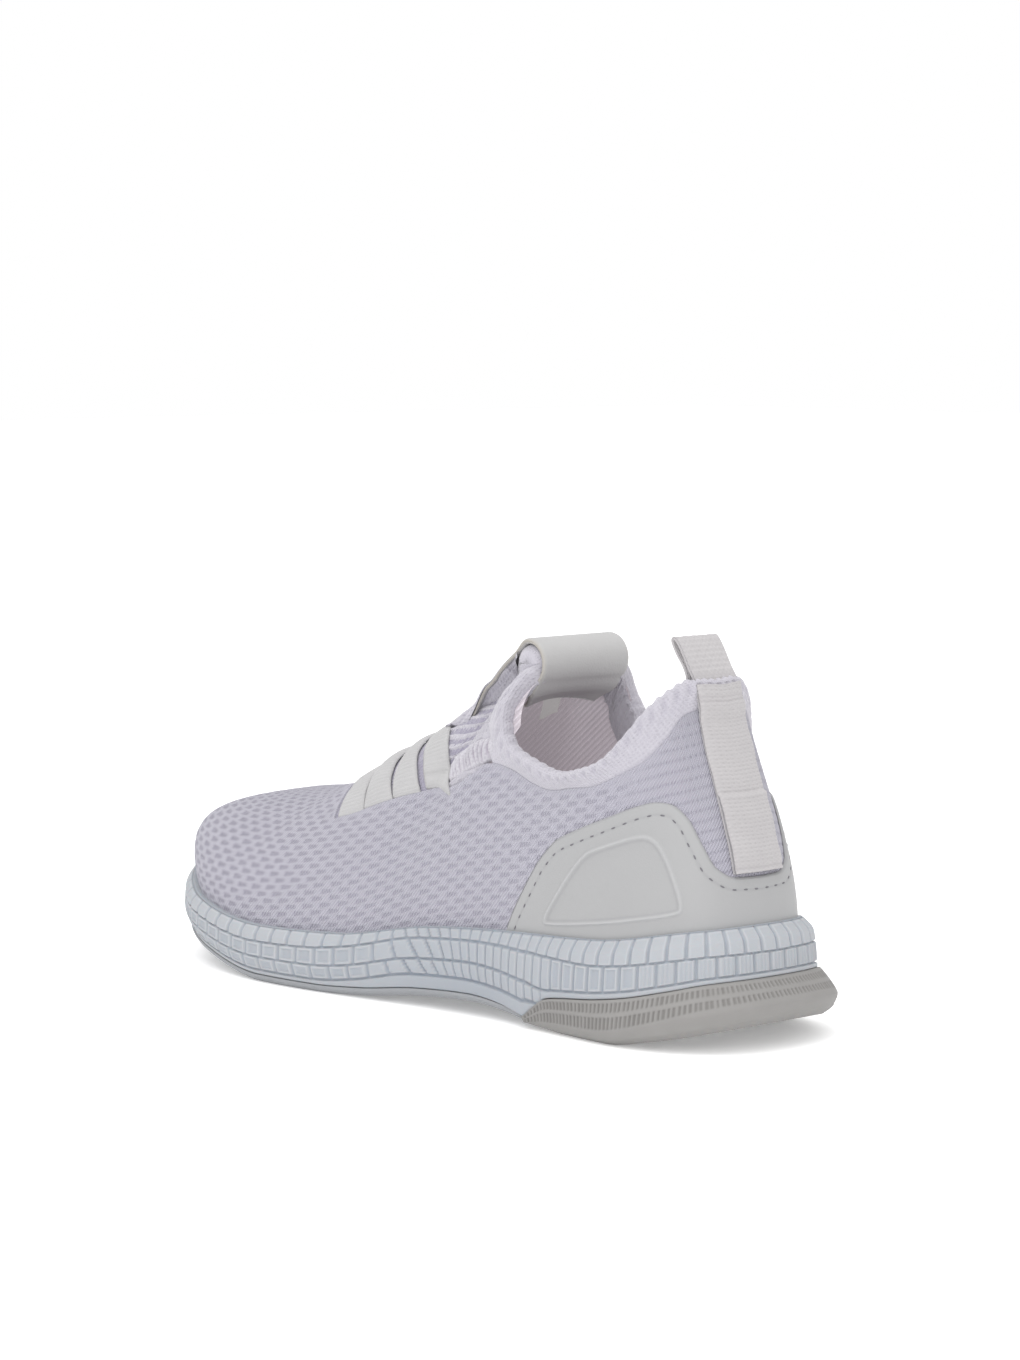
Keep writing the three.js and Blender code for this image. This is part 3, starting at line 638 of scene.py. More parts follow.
def foam_material():
    """Moulded foam: shade is 1 in the grooves, painted shade, and below 0 on the blocks' rims, a painted
    highlight.
    """
    p = Paint("moulded_foam", roughness=0.6, specular=0.4, subsurface=0.05)
    grain = p.noise(0.7, 4)
    cloud = p.noise(16, 2)
    p.base(rgb(199, 202, 207))
    p.mix(cloud * 0.3, rgb(190, 195, 202))
    # painted shade in the grooves and sunk frames
    p.mix(p.shade * 0.85, rgb(158, 168, 183))
    # painted highlight on the blocks' rims
    p.mix(p.shade * -1, rgb(232, 236, 242))
    p.mix(grain * 0.12, rgb(180, 188, 198))
    p.relief(grain, 0.06)
    return p.done()


def rubber_material(name, light, dark):
    """Smooth rubber: shade is 1 in the grooves, which take painted shade."""
    p = Paint(name, roughness=0.62, specular=0.35)
    grain = p.noise(0.6, 4)
    wear = p.noise(9, 3)
    p.base(light)
    # painted shade in the grooves
    p.mix(p.shade, dark)
    p.mix(wear * 0.22, dark)
    p.relief(grain, 0.05)
    return p.done()


def film_material():
    """Moulded film: shade is above 0 in the stitch line and in the painted shadow inside the panel's rim, and
    below 0 on the panel's rim, a painted highlight.
    """
    p = Paint("moulded_film", roughness=0.46, specular=0.4)
    grain = p.cells(0.55)
    cloud = p.noise(22, 2)
    p.base(rgb(190, 190, 191))
    p.mix(cloud * 0.35, rgb(182, 182, 184))
    # darker on the stitch line and at the edges; painted shadow inside the panel's rim
    p.mix(p.shade, rgb(158, 158, 162))
    # painted highlight on the panel's rim
    p.mix(p.shade * -1, rgb(222, 222, 224))
    p.relief(grain, 0.03)
    p.rough(cloud, 0.4, 0.56)
    return p.done()


def leather_material(name, glow=0.0):
    """Synthetic leather: shade is 1 on the cut edges."""
    p = Paint(name, roughness=0.5, specular=0.4)
    grain = p.cells(0.7)
    crease = p.noise(5, 3)
    p.base(rgb(210, 209, 209))
    p.mix(crease * 0.3, rgb(199, 198, 198))
    p.mix(p.shade * 0.7, rgb(186, 178, 164))
    p.relief(grain * 0.6 + crease, 0.1)
    p.rough(crease, 0.42, 0.6)
    # painted light where glow is above 0
    p.glow(rgb(200, 198, 196), glow)
    return p.done()


def woven_material(name, light, dark, pitch=1.0):
    """Woven tape: plain weave over the geometry's own ribs."""
    p = Paint(name, roughness=0.82, sheen=0.2)
    warp = (p.x * (1 / pitch)).wave()
    weft = (p.y * (1 / pitch)).wave()
    over = (warp - weft).math("ABSOLUTE")
    tint = p.noise(7, 3)
    p.base(light)
    p.mix(over * 0.22, dark)
    p.mix(tint * 0.35, dark)
    p.mix(p.shade, dark)
    p.relief(over, 0.06)
    return p.done()


def plain_material(name, light, dark, size, roughness=0.85, depth=0.1):
    """A grain of one size, in millimetres, between two colours."""
    p = Paint(name, roughness=roughness)
    grain = p.noise(size, 4)
    p.base(light)
    p.mix(grain * 0.5, dark)
    p.relief(grain, depth)
    return p.done()


MESH = mesh_material()
# painted light: the soft knit glows a little, to lift its shaded inner side
KNIT = knit_material("soft_knit", rgb(219, 216, 224), rgb(186, 182, 196), 1.5, glow=0.09)
# a darker copy of the soft knit: painted shade of the throat under the bands
THROAT = knit_material("throat_knit_rib_painted_shade", rgb(200, 196, 212), rgb(160, 154, 178))
PUCKER = knit_material("pucker_thread", rgb(228, 226, 233), rgb(178, 168, 184), 1.0, 0.15)
LINING = lining_material()
FOAM = foam_material()
HEEL_RUBBER = rubber_material("heel_rubber_grey", rgb(170, 168, 166), rgb(118, 115, 112))
TREAD_RUBBER = rubber_material("tread_rubber_grey", rgb(178, 180, 184), rgb(128, 130, 134))
FILM = film_material()
LEATHER = leather_material("smooth_strap")
# painted light: the anchor patch glows, to lift it out of the tongue's shade
PATCH = leather_material("anchor_patch_strap", 0.6)
WEBBING = woven_material("heel_webbing_weave", rgb(217, 214, 215), rgb(186, 181, 184), 1.9)
ELASTIC = woven_material("elastic_weave", rgb(216, 215, 216), rgb(190, 188, 189), 0.9)
THREAD = plain_material("stitch_thread", rgb(140, 138, 144), rgb(112, 110, 116), 0.5)
BOARD = plain_material("strobel_board_felt", rgb(200, 196, 184), rgb(170, 166, 154), 1.2)
SHEET = plain_material("thermoformed_sheet", rgb(224, 222, 216), rgb(206, 203, 196), 2.0, 0.5, 0.04)
SOCKLINER = knit_material("sockliner_cloth", rgb(186, 176, 188), rgb(146, 134, 148), 1.6)


# ---- The knit mesh upper ----
DASH_PITCH = 8.4
ROW_PITCH = 2.45
RIB_PITCH_HEEL = 3.6
ROW_CLIMB = 0.11  # the rows rise towards the heel, against the line of the sole
DASH_SUNK = 0.24
FEATHER_RUN = girth_at(0.0)


def knit_place(s, t):
    """How far along the sole, and how far up from it, a point of the mesh was knitted, in millimetres."""
    side, u = split_side(np.broadcast_arrays(s, t)[0])
    foot = feather(side, u)
    arm = section(side, u, np.broadcast_to(t, u.shape)) - foot
    out = outward(side, u)
    tangent = np.stack([-out[..., 1], out[..., 0], np.zeros_like(u)], -1) * side[..., None]
    shear = (arm * tangent).sum(-1)
    climb = np.linalg.norm(arm - tangent * shear[..., None], axis=-1)
    run = np.abs(np.interp(side * u, SAMPLES, FEATHER_RUN)) + shear
    return run, climb + ROW_CLIMB * run


def dash_depth(s, t, x, y):
    """The mesh's openings: 1 in a dash, whose slits grow towards its front; dotted ribs at the heel."""
    u = np.abs(s)
    row = np.floor(y)
    f = (x + 0.5 * np.mod(row, 2)) % 1
    g = np.abs(y - row - 0.5)
    tall = 0.2 + 0.18 * np.clip((f - 0.15) / 0.7, 0, 1)  # half the dash's height there, in rows
    dash = smooth(0.14, 0.3, f) * smooth(0.86, 0.76, f) * smooth(tall + 0.12, tall - 0.1, g)
    # deeper towards the toe; the same depth sets the dashes' painted shade
    dash = dash * (0.7 + 0.3 * smooth(8, 13, u))
    v = y * ROW_PITCH / RIB_PITCH_HEEL
    dotted = 0.55 + 0.45 * np.sin(2 * np.pi * x * SLITS * 0.7)
    rib = smooth(0.2, 0.06, np.abs(v % 1 - 0.5)) * dotted * 0.8
    ribs = 1 - smooth(1.7, 2.7, u + 0.8 * np.sin(row * 2.4) * 0.3)
    edge = smooth(1, 0.94, t / mesh_top(u)) * smooth(0, 0.012, t)
    return np.maximum(dash * (1 - ribs), rib * ribs) * edge


def upper_mesh(side, name):
    """One side of the mesh, with its dashes pressed in."""
    s = columns(-TOE, 0, 0.55) if side < 0 else columns(0, TOE, 0.55)
    u = np.abs(s)[:, None]
    share = np.concatenate([np.linspace(0, 1, 150), [1, 1]])
    t = mesh_top(u) * share
    x, y = knit_place(s[:, None], t)
    x, y = x / DASH_PITCH, y / ROW_PITCH
    depth = dash_depth(s[:, None], t, x, y)
    out = -DASH_SUNK * depth
    out[:, -2], out[:, -1] = -0.7, -1.6  # its top edge turns in
    points = skin(s[:, None], t, out)
    uv = np.stack([x, y], -1)
    replaced = ("upper_mesh",) if side < 0 else ()
    return Build().grid(points, uv, depth).object(name, MESH, "shoe", replaced, "mesh")


upper_mesh(-1, "mesh_quarter_lateral")
upper_mesh(1, "mesh_quarter_medial")


# ---- The midsole ----
BESIDE_HEEL = 24.0  # the wall's height there, by which shares of it become widths of grooves
GROOVE_HALF = 0.42  # half the width of a long groove
# painted shade on the foam's top ledge and on its underside
LIP_SHADE, UNDER_SHADE = 0.25, 0.3
WAIST = 6
LEDGE = (-7, 1.2)  # the foam's top rim, as distances outside the feather line
RUBBER_THICK = 3
TOUCH_GAP = 0.3  # between the rubber's top and the foam
bulge_heel = profile((0, 2.5), (0.25, 6), (0.6, 7), (1, 7.5))
bulge_fore = profile((0, 2.5), (0.2, 4.6), (0.6, 5), (1, 2.6))


def heelness(u):
    """1 at the heel, 0 from the waist forwards."""
    return 1 - smooth(2.5, 5, u)


def sole_split(y):
    """Height of the joint between foam and rubber."""
    return np.where(y < HEEL_RUBBER_END, heel_split(y), ground_clearance(y) + RUBBER_THICK)


# How far down the wall, as shares of its height, the long grooves run, and the blocks' pitch in each row.
GROOVES = (
    profile((0, 0.5), (1, 0.48), (2.5, 0.43), (3.3, 0.33), (3.9, 0.21), (5.5, 0.175), (7, 0.17), (8.3, 0.22),
            (9.4, 0.29), (11, 0.31), (16, 0.33)),
    profile((0, 0.9), (2.5, 0.89), (3.3, 0.87), (3.9, 0.56), (5.5, 0.5), (7, 0.5), (9.4, 0.62), (16, 0.62)),
    profile((0, 1.2), (3.2, 1.2), (3.9, 0.8), (5.5, 0.77), (7, 0.76), (9.4, 0.9), (16, 0.88)),
)
PITCHES = (
    profile((0, 6.6), (2, 6.4), (3, 5.6), (4, 4.8), (6, 4.8), (7, 5.6), (8.5, 8.5), (16, 8.5)),
    profile((0, 6.6), (2.4, 6.4), (3.2, 5), (3.8, 4), (5.5, 4), (6.2, 6), (7, 9), (16, 8.9)),
    profile((0, 5), (3.8, 4), (5.5, 3.8), (6.4, 6), (7.2, 8.9), (16, 8.9)),
)
WALL_EDGE = sole_point(SAMPLES, 6.0, 0.0)


def block_count(pitch):
    """Blocks passed from the heel seam to each sampled station."""
    widths = np.linalg.norm(np.diff(WALL_EDGE, axis=0), axis=1)
    middle = np.abs(SAMPLES[:-1] + SAMPLES[1:]) / 2
    run = np.concatenate([[0], np.cumsum(widths / pitch(middle))])
    return run - np.interp(0, SAMPLES, run)


COUNTS = [block_count(pitch) for pitch in PITCHES]
WALL_RUN = block_count(np.ones_like)  # the same in millimetres


def wall_relief(s, share):
    """The blocks: height, 0 in a groove and 1 on a block; a frame sunk in some; a rim along their edges."""
    u = np.abs(s)
    edges = [np.zeros_like(u)] + [groove(u) for groove in GROOVES]
    block = np.zeros(np.broadcast(s, share).shape)
    frame = np.zeros_like(block)
    rim = np.zeros_like(block)
    for k, pitch in enumerate(PITCHES):
        low, high = edges[k], edges[k + 1]
        middle = (low + high) / 2
        half = (high - low) / 2
        x = np.interp(s, SAMPLES, COUNTS[k])
        slant = 0.35 * np.exp(-((u - 6.3) ** 2)) * (share - middle) / np.maximum(half, 0.05)
        x = x + np.sign(s) * slant + 0.5 * (k == 1)
        fx = (0.5 - np.abs(x % 1 - 0.5)) * pitch(u)
        fy = (half - np.abs(share - middle)) * BESIDE_HEEL
        gap = 0.28 + 0.42 * smooth(3, 9, pitch(u))  # half the gap between two blocks of a row
        d = np.minimum(fx - gap, fy - GROOVE_HALF)  # how far inside its block's edge
        block = np.maximum(block, smooth(-0.3, 0.35, d))
        framed = smooth(7.4, 8.4, u) if k else 0.0
        if k == 1:
            framed = framed + smooth(1.7, 2.1, u) * smooth(3.5, 3.1, u)
        inner = 0.7 + 0.4 * smooth(4, 8, pitch(u))
        frame = np.maximum(frame, framed * smooth(inner, inner + 0.35, d))
        if k == 1:  # fine upright ribs on the blocks at the heel
            ribs = 0.5 + 0.5 * ripple(np.interp(s, SAMPLES, WALL_RUN), 1.5)
            frame = np.maximum(frame, 0.8 * ribs * smooth(2.4, 1.7, u) * smooth(0.1, 0.4, d))
        # rim: the band along the blocks' edges that takes a painted highlight
        rim = np.maximum(rim, smooth(0.0, 0.3, d) * smooth(0.9, 0.45, d))
    plain = smooth(edges[3] + 0.01, edges[3] + 0.035, share)
    plain = np.maximum(plain, smooth(edges[2] + 0.015, edges[2] + 0.03, share) * smooth(3.6, 3.3, u))
    return np.maximum(block, plain), frame * (1 - plain), rim * (1 - plain)


def midsole():
    """The foam: a ledge under the upper, the moulded wall, and the underside where the rubber sits."""
    fore, rear = 0.62, 0.36  # the grid's steps
    s = [columns(-TOE, -WAIST, fore)[:-1], columns(-WAIST, WAIST, rear), columns(WAIST, TOE, fore)[1:]]
    s = np.concatenate(s)
    u = np.abs(s)[:, None]
    share = spread(82)
    bulge = bulge_fore(share) + (bulge_heel(share) - bulge_fore(share)) * heelness(u)
    block, frame, rim = wall_relief(s[:, None], share)
    ends = smooth(0, 0.02, share) * smooth(1, 0.985, share)
    # painted shade: the wall darker round the waist and towards its foot
    midfoot_painted_shade = 0.42 * np.exp(-(((u - 5.5) / 2.4) ** 2)) * (0.6 + 0.4 * share)
    relief = (0.95 * block - 0.4 * frame - 0.75) * ends
    side, v = split_side(s)
    top = feather(side, v)[:, 2:3] + 0.5
    wide = np.broadcast_to(s[:, None], block.shape)
    foot = sole_split(sole_point(s, bulge[:, -1], 0.0)[:, 1])[:, None]
    wall = sole_point(wide, bulge + relief, 0.0)
    wall[..., 2] = top + (foot - top) * share
    ledge_in = spread(6, *LEDGE)
    ledge = sole_point(np.broadcast_to(s[:, None], (len(s), 6)), ledge_in, 0.0)
    ledge[..., 2] = top
    inward = np.linspace(0, 1, 14)[1:, None, None]
    under = wall[:, -1] * (1 - inward) + centre_line(s, bulge[:, -1]) * inward
    under = np.moveaxis(under, 0, 1)
    under[..., 2] = sole_split(under[..., 1])
    points = np.concatenate([ledge, wall, under], 1)[:, ::-1]
    # painted shade in the grooves, the sunk frames and round the waist; painted highlight on the rims
    wall_shade = (1 - block) * 0.55 + frame * 0.3 - rim * 0.32 + midfoot_painted_shade
    lip_shade, under_shade = np.full(ledge.shape[:2], LIP_SHADE), np.full(under.shape[:2], UNDER_SHADE)
    shade = np.concatenate([lip_shade, wall_shade, under_shade], 1)
    uv = np.stack(np.meshgrid(girth(s), np.arange(shade.shape[1]), indexing="ij"), -1)
    return Build().grid(points, uv, shade[:, ::-1]).object("midsole_foam", FOAM, "shoe", ("midsole",), "foam")


midsole()


# ---- The outsoles ----
def rubber(parts, name, rows, relief, under_relief, material, replaced, slot):
    """A tread with its wall and underside; rows gives the wall's distance out at a share of its height."""
    build = Build()
    ends = []
    for part in parts:
        u = np.abs(part)[:, None]
        share = spread(46, 1, 0)
        distance = rows(u, share)
        wide = np.broadcast_to(part[:, None], distance.shape)
        # dark: painted shade in the wall's sunk ribs
        push, dark = relief(wide, share)
        wall = sole_point(wide, distance + push, 0.0)
        plain = sole_point(wide, distance, 0.0)
        low = ground_clearance(plain[..., 1])
        high = np.maximum(sole_split(plain[..., 1]) - TOUCH_GAP, low + 1)
        wall[..., 2] = low + (high - low) * share
        lip = sole_point(part, distance[:, 0] - 4, 0.0)
        lip[:, 2] = wall[:, 0, 2]
        inward = np.linspace(0, 1, 60)[1:, None, None]
        under = wall[:, -1] * (1 - inward) + centre_line(part, distance[:, -1]) * inward
        under = np.moveaxis(under, 0, 1)
        # under_dark: painted shade in the lugs' grooves
        sunk, under_dark = under_relief(under)
        under[..., 2] = ground_clearance(under[..., 1]) + sunk
        points = np.concatenate([lip[:, None], wall, under], 1)[:, ::-1]
        shade = np.concatenate([np.zeros((len(part), 1)), dark, under_dark], 1)[:, ::-1]
        build.grid(points, None, shade)
        ends += [points[0], points[-1]]
    a, b, flip = (ends[0], ends[-1], True) if len(parts) == 1 else (ends[1], ends[2], False)
    # painted shade on the tread's end face under the shoe
    build.grid(np.stack([a, b]), None, 0.2, flip)
    return build.object(name, material, "shoe", replaced, slot)


def heel_flare(u):
    """How far the heel tread stands out beyond the upper."""
    return 4 + 11.5 * (1 - smooth(0.3, 4.4, u))


def heel_rows(u, share):
    """A rounded foot, a round edge that stands out furthest, and a slope back up to the foam."""
    flare = heel_flare(u)
    top = 3.2 + 5.3 * heelness(u)
    foot = flare - 5 + 3.8 * np.sin(np.pi / 2 * share / 0.18)
    edge = flare - 1.2 + 1.2 * np.sin(np.pi / 2 * np.clip((share - 0.18) / 0.22, 0, 1))
    slope = flare + (top - flare) * np.clip((share - 0.4) / 0.6, 0, 1) ** 1.3
    return np.where(share > 0.4, slope, np.where(share >= 0.18, edge, foot))


RIB_PITCH = 1.75
# Rows of ribs, as shares of the wall's height: bottom and top beside the heel, bottom and top at its back.
RIB_ROWS = ((0.7, 0.95, 0.78, 0.95), (0.33, 0.64, 0.54, 0.72))
RUBBER_RUN = run_along(sole_point(SAMPLES, 12.0, 0.0))


def heel_ribs(s, share):
    """Two rows of upright ribs over a smooth band, narrower towards the back."""
    back = 1 - smooth(0.4, 2.6, np.abs(s))
    x = np.interp(s, SAMPLES, RUBBER_RUN) / RIB_PITCH
    total = np.zeros(np.broadcast(s, share).shape)
    for k, (low, high, back_low, back_high) in enumerate(RIB_ROWS):
        fy = np.minimum(share - low - (back_low - low) * back, high + (back_high - high) * back - share)
        fx = np.abs((x + 0.35 * k) % 1 - 0.5)
        total = np.maximum(total, smooth(0.0, 0.045, fy) * smooth(0.3, 0.2, fx))
    total = total * smooth(HEEL_RUBBER_STATION, HEEL_RUBBER_STATION - 0.08, np.abs(s))
    # sunk ribs, and painted shade in them
    return -0.5 * total, total * 0.5


def lugs(cell, slope, depth):
    """Rounded lugs on the underside, in slanted rows."""

    def relief(under):
        x = (under[..., 0] + slope * under[..., 1]) / cell
        y = (under[..., 1] - slope * under[..., 0]) / cell
        x = x + 0.5 * (np.floor(y) % 2)
        d = np.maximum(np.abs(x % 1 - 0.5), np.abs(y % 1 - 0.5))
        groove = smooth(0.36, 0.44, d)
        rim = smooth(0.0, 0.1, np.linspace(0, 1, under.shape[1]))[None, :]
        # sunk grooves, and painted shade in them
        return groove * depth * rim, groove * 0.8 * rim

    return relief


def fore_rows(u, share):
    """The forefoot tread's wall leans out as it rises."""
    return 0.5 + 2.5 * np.sin(np.pi / 2 * np.clip(share / 0.8, 0, 1)) + 0 * u


def smooth_wall(s, share):
    plain = np.zeros(np.broadcast(s, share).shape)
    return plain, plain


REAR, FRONT = HEEL_RUBBER_STATION, HEEL_RUBBER_STATION + 0.12  # where the two treads end
rubber([columns(-REAR, REAR, 0.3)], "heel_tread", heel_rows, heel_ribs, lugs(13, 0.25, 1.2), HEEL_RUBBER,
       ("heel_outsole",), "heel_rubber")
rubber([columns(-TOE, -FRONT, 0.9), columns(FRONT, TOE, 0.9)], "forefoot_tread", fore_rows, smooth_wall,
       lugs(15, 0.3, 1.2), TREAD_RUBBER, ("forefoot_outsole",), "tread_rubber")


# ---- Moulded overlay ----
def smoothed(points, rounds=4):
    """Corner cutting on a closed outline."""
    for _ in range(rounds):
        after = np.roll(points, -1, axis=0)
        points = np.stack([points * 0.75 + after * 0.25, points * 0.25 + after * 0.75], 1).reshape(-1, 2)
    return points


def distance_to_outline(x, y, outline, closed=True):
    """Distance of each point to an outline, and whether it lies inside."""
    best = np.full(np.broadcast(x, y).shape, 1e9)
    inside = np.zeros(best.shape, bool)
    ends = np.roll(outline, -1, axis=0) if closed else outline[1:]
    for (ax, ay), (bx, by) in zip(outline, ends):
        dx, dy = bx - ax, by - ay
        f = np.clip(((x - ax) * dx + (y - ay) * dy) / max(dx * dx + dy * dy, 1e-9), 0, 1)
        best = np.minimum(best, np.hypot(x - ax - f * dx, y - ay - f * dy))
        crosses = ((ay > y) != (by > y)) & (x < dx * (y - ay) / (dy if abs(dy) > 1e-9 else 1e-9) + ax)
        inside ^= crosses
    return best, inside


# The embossed panel's corners, as stations and heights, before they are rounded.
PANEL = np.array([
    (3.66, 0.09), (2.98, 0.45), (2.6, 0.475), (1.93, 0.465), (1.7, 0.42), (1.56, 0.33), (1.37, 0.11),
    (1.47, 0.082), (2.4, 0.098), (3.5, 0.072),
])
OVERLAY_END = 4.44
STITCH_INSET = 4.2


def heel_overlay():
    """A film round the heel, with a sunk panel inside a raised rim on each side."""
    s = columns(-OVERLAY_END, OVERLAY_END, 0.5)
    u = np.abs(s)[:, None]
    share = spread(120)
    t = 0.004 + (overlay_top(u) - 0.004) * share
    x, y = flat(s[:, None], t)
    edge_u = np.linspace(0, 4.45, 240)
    edge = np.stack(flat(edge_u, overlay_top(edge_u)), -1)
    from_edge, _ = distance_to_outline(np.abs(x), y, edge, closed=False)
    panel = smoothed(np.stack(flat(PANEL[:, 0], PANEL[:, 1]), -1))
    near, inside = distance_to_outline(np.abs(x), y, panel)
    rim = np.exp(-((near / 0.5) ** 2))
    stitch = np.exp(-(((from_edge - STITCH_INSET) / 0.5) ** 2))
    thick = 0.15 + 0.85 * np.sqrt(np.clip(from_edge / 1.0, 0, 1))
    out = thick + 0.6 * rim - 0.28 * np.where(inside, smooth(0.3, 1.6, near), 0) - 0.16 * stitch
    # hollow: painted shadow just inside the panel's rim
    hollow = np.exp(-(((near - 1.1) / 0.4) ** 2)) * inside
    # painted shadow in the hollow, painted highlight on the rim
    shade = 0.2 * stitch + 0.3 * smooth(1.0, 0.2, from_edge) + 0.25 * hollow - 0.45 * rim
    points = skin(s[:, None], t, out)
    made = Build().grid(points, np.stack([x, y], -1), shade)
    return made.object("heel_overlay_film", FILM, "shoe", ("heel_overlay",), "film")


heel_overlay()


def dash_row(build, centres, directions, normals, length, radius):
    """Short threads lying along a seam."""
    angle = np.linspace(0, 2 * np.pi, 9)
    along_share = np.linspace(-1, 1, 7)
    for c, d, n in zip(centres, directions, normals):
        across = unit(np.cross(d, n))
        size = radius * np.sqrt(np.clip(1 - along_share**2, 0, 1)) * 0.9 + radius * 0.1
        ring = np.cos(angle)[:, None] * across + np.sin(angle)[:, None] * n
        points = c + d * (along_share * length / 2)[:, None, None] + ring * size[:, None, None]
        build.grid(points, None, 0.0, flip=True)
    return build


def seam_frames(s, t, out, spacing):
    """Equally spaced points along a line on the upper, with its directions and normals."""
    point, normal = surface(s, t)
    point = point + normal * out
    run = run_along(point)
    stops = np.arange(spacing / 2, run[-1], spacing)

    def pick(values):
        return np.stack([np.interp(stops, run, values[:, k]) for k in range(3)], -1)

    direction = unit(np.gradient(point, axis=0))
    return pick(point), unit(pick(direction)), unit(pick(normal))


def overlay_stitches():
    """The seam runs a fixed distance inside the overlay's edge."""
    u = np.linspace(0, 4.4, 600)
    edge = np.stack(flat(u, overlay_top(u)), -1)
    tangent = unit(np.gradient(edge, axis=0))
    inner = edge + np.stack([tangent[:, 1], -tangent[:, 0]], -1) * STITCH_INSET
    keep = inner[:, 1] > 1
    seam_u = np.interp(inner[:, 0], GIRTH, SAMPLES)
    seam_t = inner[:, 1] / np.interp(seam_u, HEIGHT_STATIONS, HEIGHTS)
    keep &= np.concatenate([[True], np.diff(seam_u) > 0]) & (seam_u > 0)
    build = Build()
    for side in (-1, 1):
        dash_row(build, *seam_frames(seam_u[keep] * side, seam_t[keep], 0.84, 4.5), 1.7, 0.27)
    return build.object("overlay_stitching", THREAD, "shoe", (), "film")


overlay_stitches()


def toe_bumper():
    """A film over the toe, thinned out at its top edge."""
    build = Build()
    for s in (columns(-TOE, -14.5, 0.8), columns(14.5, TOE, 0.8)):
        share = spread(30)
        t = 0.004 + (bumper_top(np.abs(s))[:, None] - 0.004) * share
        out = 0.15 + 0.9 * np.sqrt(np.clip((1 - share) * 9, 0, 1))
        build.grid(skin(s[:, None], t, out), np.stack(flat(s[:, None], t), -1), 0.3 * smooth(0.86, 1, share))
    return build.object("toe_bumper_film", FILM, "shoe", ("toe_bumper",), "film")


toe_bumper()


# ---- Rolled collar edge ----
EDGE_DEEP = 4.8  # from the upper's face to the roll's inner side
SCALLOP_PITCH = 4.6
QUILT_PITCH = 5.4


def roll_high(s):
    """Top line of the rolled edge; the inner side of the foot stands a little higher beside the tongue."""
    return np.minimum(roll_top(np.abs(s)) + 0.08 * np.exp(-(((s - 5.1) / 0.9) ** 2)), 1)


def rolled_edge(s, low_of):
    """A padded roll from a seam outside, over its top line, down to the lining inside."""
    u = np.abs(s)
    high = roll_high(s)[:, None]
    low = np.minimum(low_of(u)[:, None], high - 0.02)
    outside = spread(26)
    t = low + (high - low) * outside
    run = girth(s)[:, None]
    swell = np.sin(np.pi * np.clip(outside * 0.62, 0, 1)) ** 0.8
    quilt = smooth(0.25, 0.6, outside)
    dimple = quilt * ripple(run, QUILT_PITCH, 3 * outside)
    dimple = dimple * np.sin(2 * np.pi * (outside * 1.1 - 0.1))
    out = -0.2 + 1.7 * swell + 0.55 * dimple
    face = skin(s[:, None], t, out)
    top, normal = surface(s, high[:, 0])
    side, _ = split_side(s)
    up = unit(section(side, u, high[:, 0]) - section(side, u, high[:, 0] - 0.03))
    turn = np.linspace(0, np.pi, 16)[1:-1]
    first = out[:, -1:]
    half = (first + EDGE_DEEP) / 2
    scallop = 0.4 * ripple(run, SCALLOP_PITCH) * np.sin(turn)
    across = first - half * (1 - np.cos(turn))
    rise = (half * 0.5 + scallop) * np.sin(turn)
    arch = top[:, None] + normal[:, None] * across[..., None] + up[:, None] * rise[..., None]
    back = spread(14)
    t_in = high - (high - np.minimum(low - 0.04, 0.9)) * back
    out_in = -EDGE_DEEP - 1.2 * np.sin(np.pi * back)
    out_in = out_in + 0.35 * ripple(run, SCALLOP_PITCH) * (1 - back)
    inside = skin(s[:, None], t_in, out_in)
    points = np.concatenate([face, arch, inside], 1)
    seam = 0.4 * (outside < 0.06) + 0 * t
    # painted shade in the quilt's dimples and the scallops' dips
    face_shade, arch_shade = 0.5 * np.clip(-dimple, 0, 1) + seam, 0.25 * np.clip(-scallop, 0, 1)
    shade = np.concatenate([face_shade, arch_shade, 0 * t_in], 1)
    uv = np.stack(np.meshgrid(girth(s), np.cumsum(np.full(shade.shape[1], 0.6)), indexing="ij"), -1)
    return points, uv, shade


def collar():
    """The rolled edge of the quarters, behind the tongue."""
    made = Build().grid(*rolled_edge(columns(-COLLAR_SPLIT, COLLAR_SPLIT, 0.6), quarter_top))
    made = made.object("collar_roll", KNIT, "shoe", ("collar_binding", "collar_foam"), "knit")
    return made


def tongue_edge_low(u):
    blended = smooth(COLLAR_SPLIT, COLLAR_SPLIT + 0.3, u)
    return quarter_top(u) * (1 - blended) + tongue_binding_low(u) * blended


def bend_with_tongue(piece):
    """Knit that joins the quarters low down and meets the tongue at its top; its transform is baked into its
    points.
    """
    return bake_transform(piece)


def tongue_collar():
    """The rolled edge where it crosses the tongue's sides."""
    build = Build()
    for a, b in ((-BINDING_END, -COLLAR_SPLIT), (COLLAR_SPLIT, BINDING_END)):
        build.grid(*rolled_edge(columns(a, b, 0.6), tongue_edge_low))
    made = build.object("tongue_roll", KNIT, None, ("tongue_binding",), "knit")
    return bend_with_tongue(made)


collar()
tongue_collar()


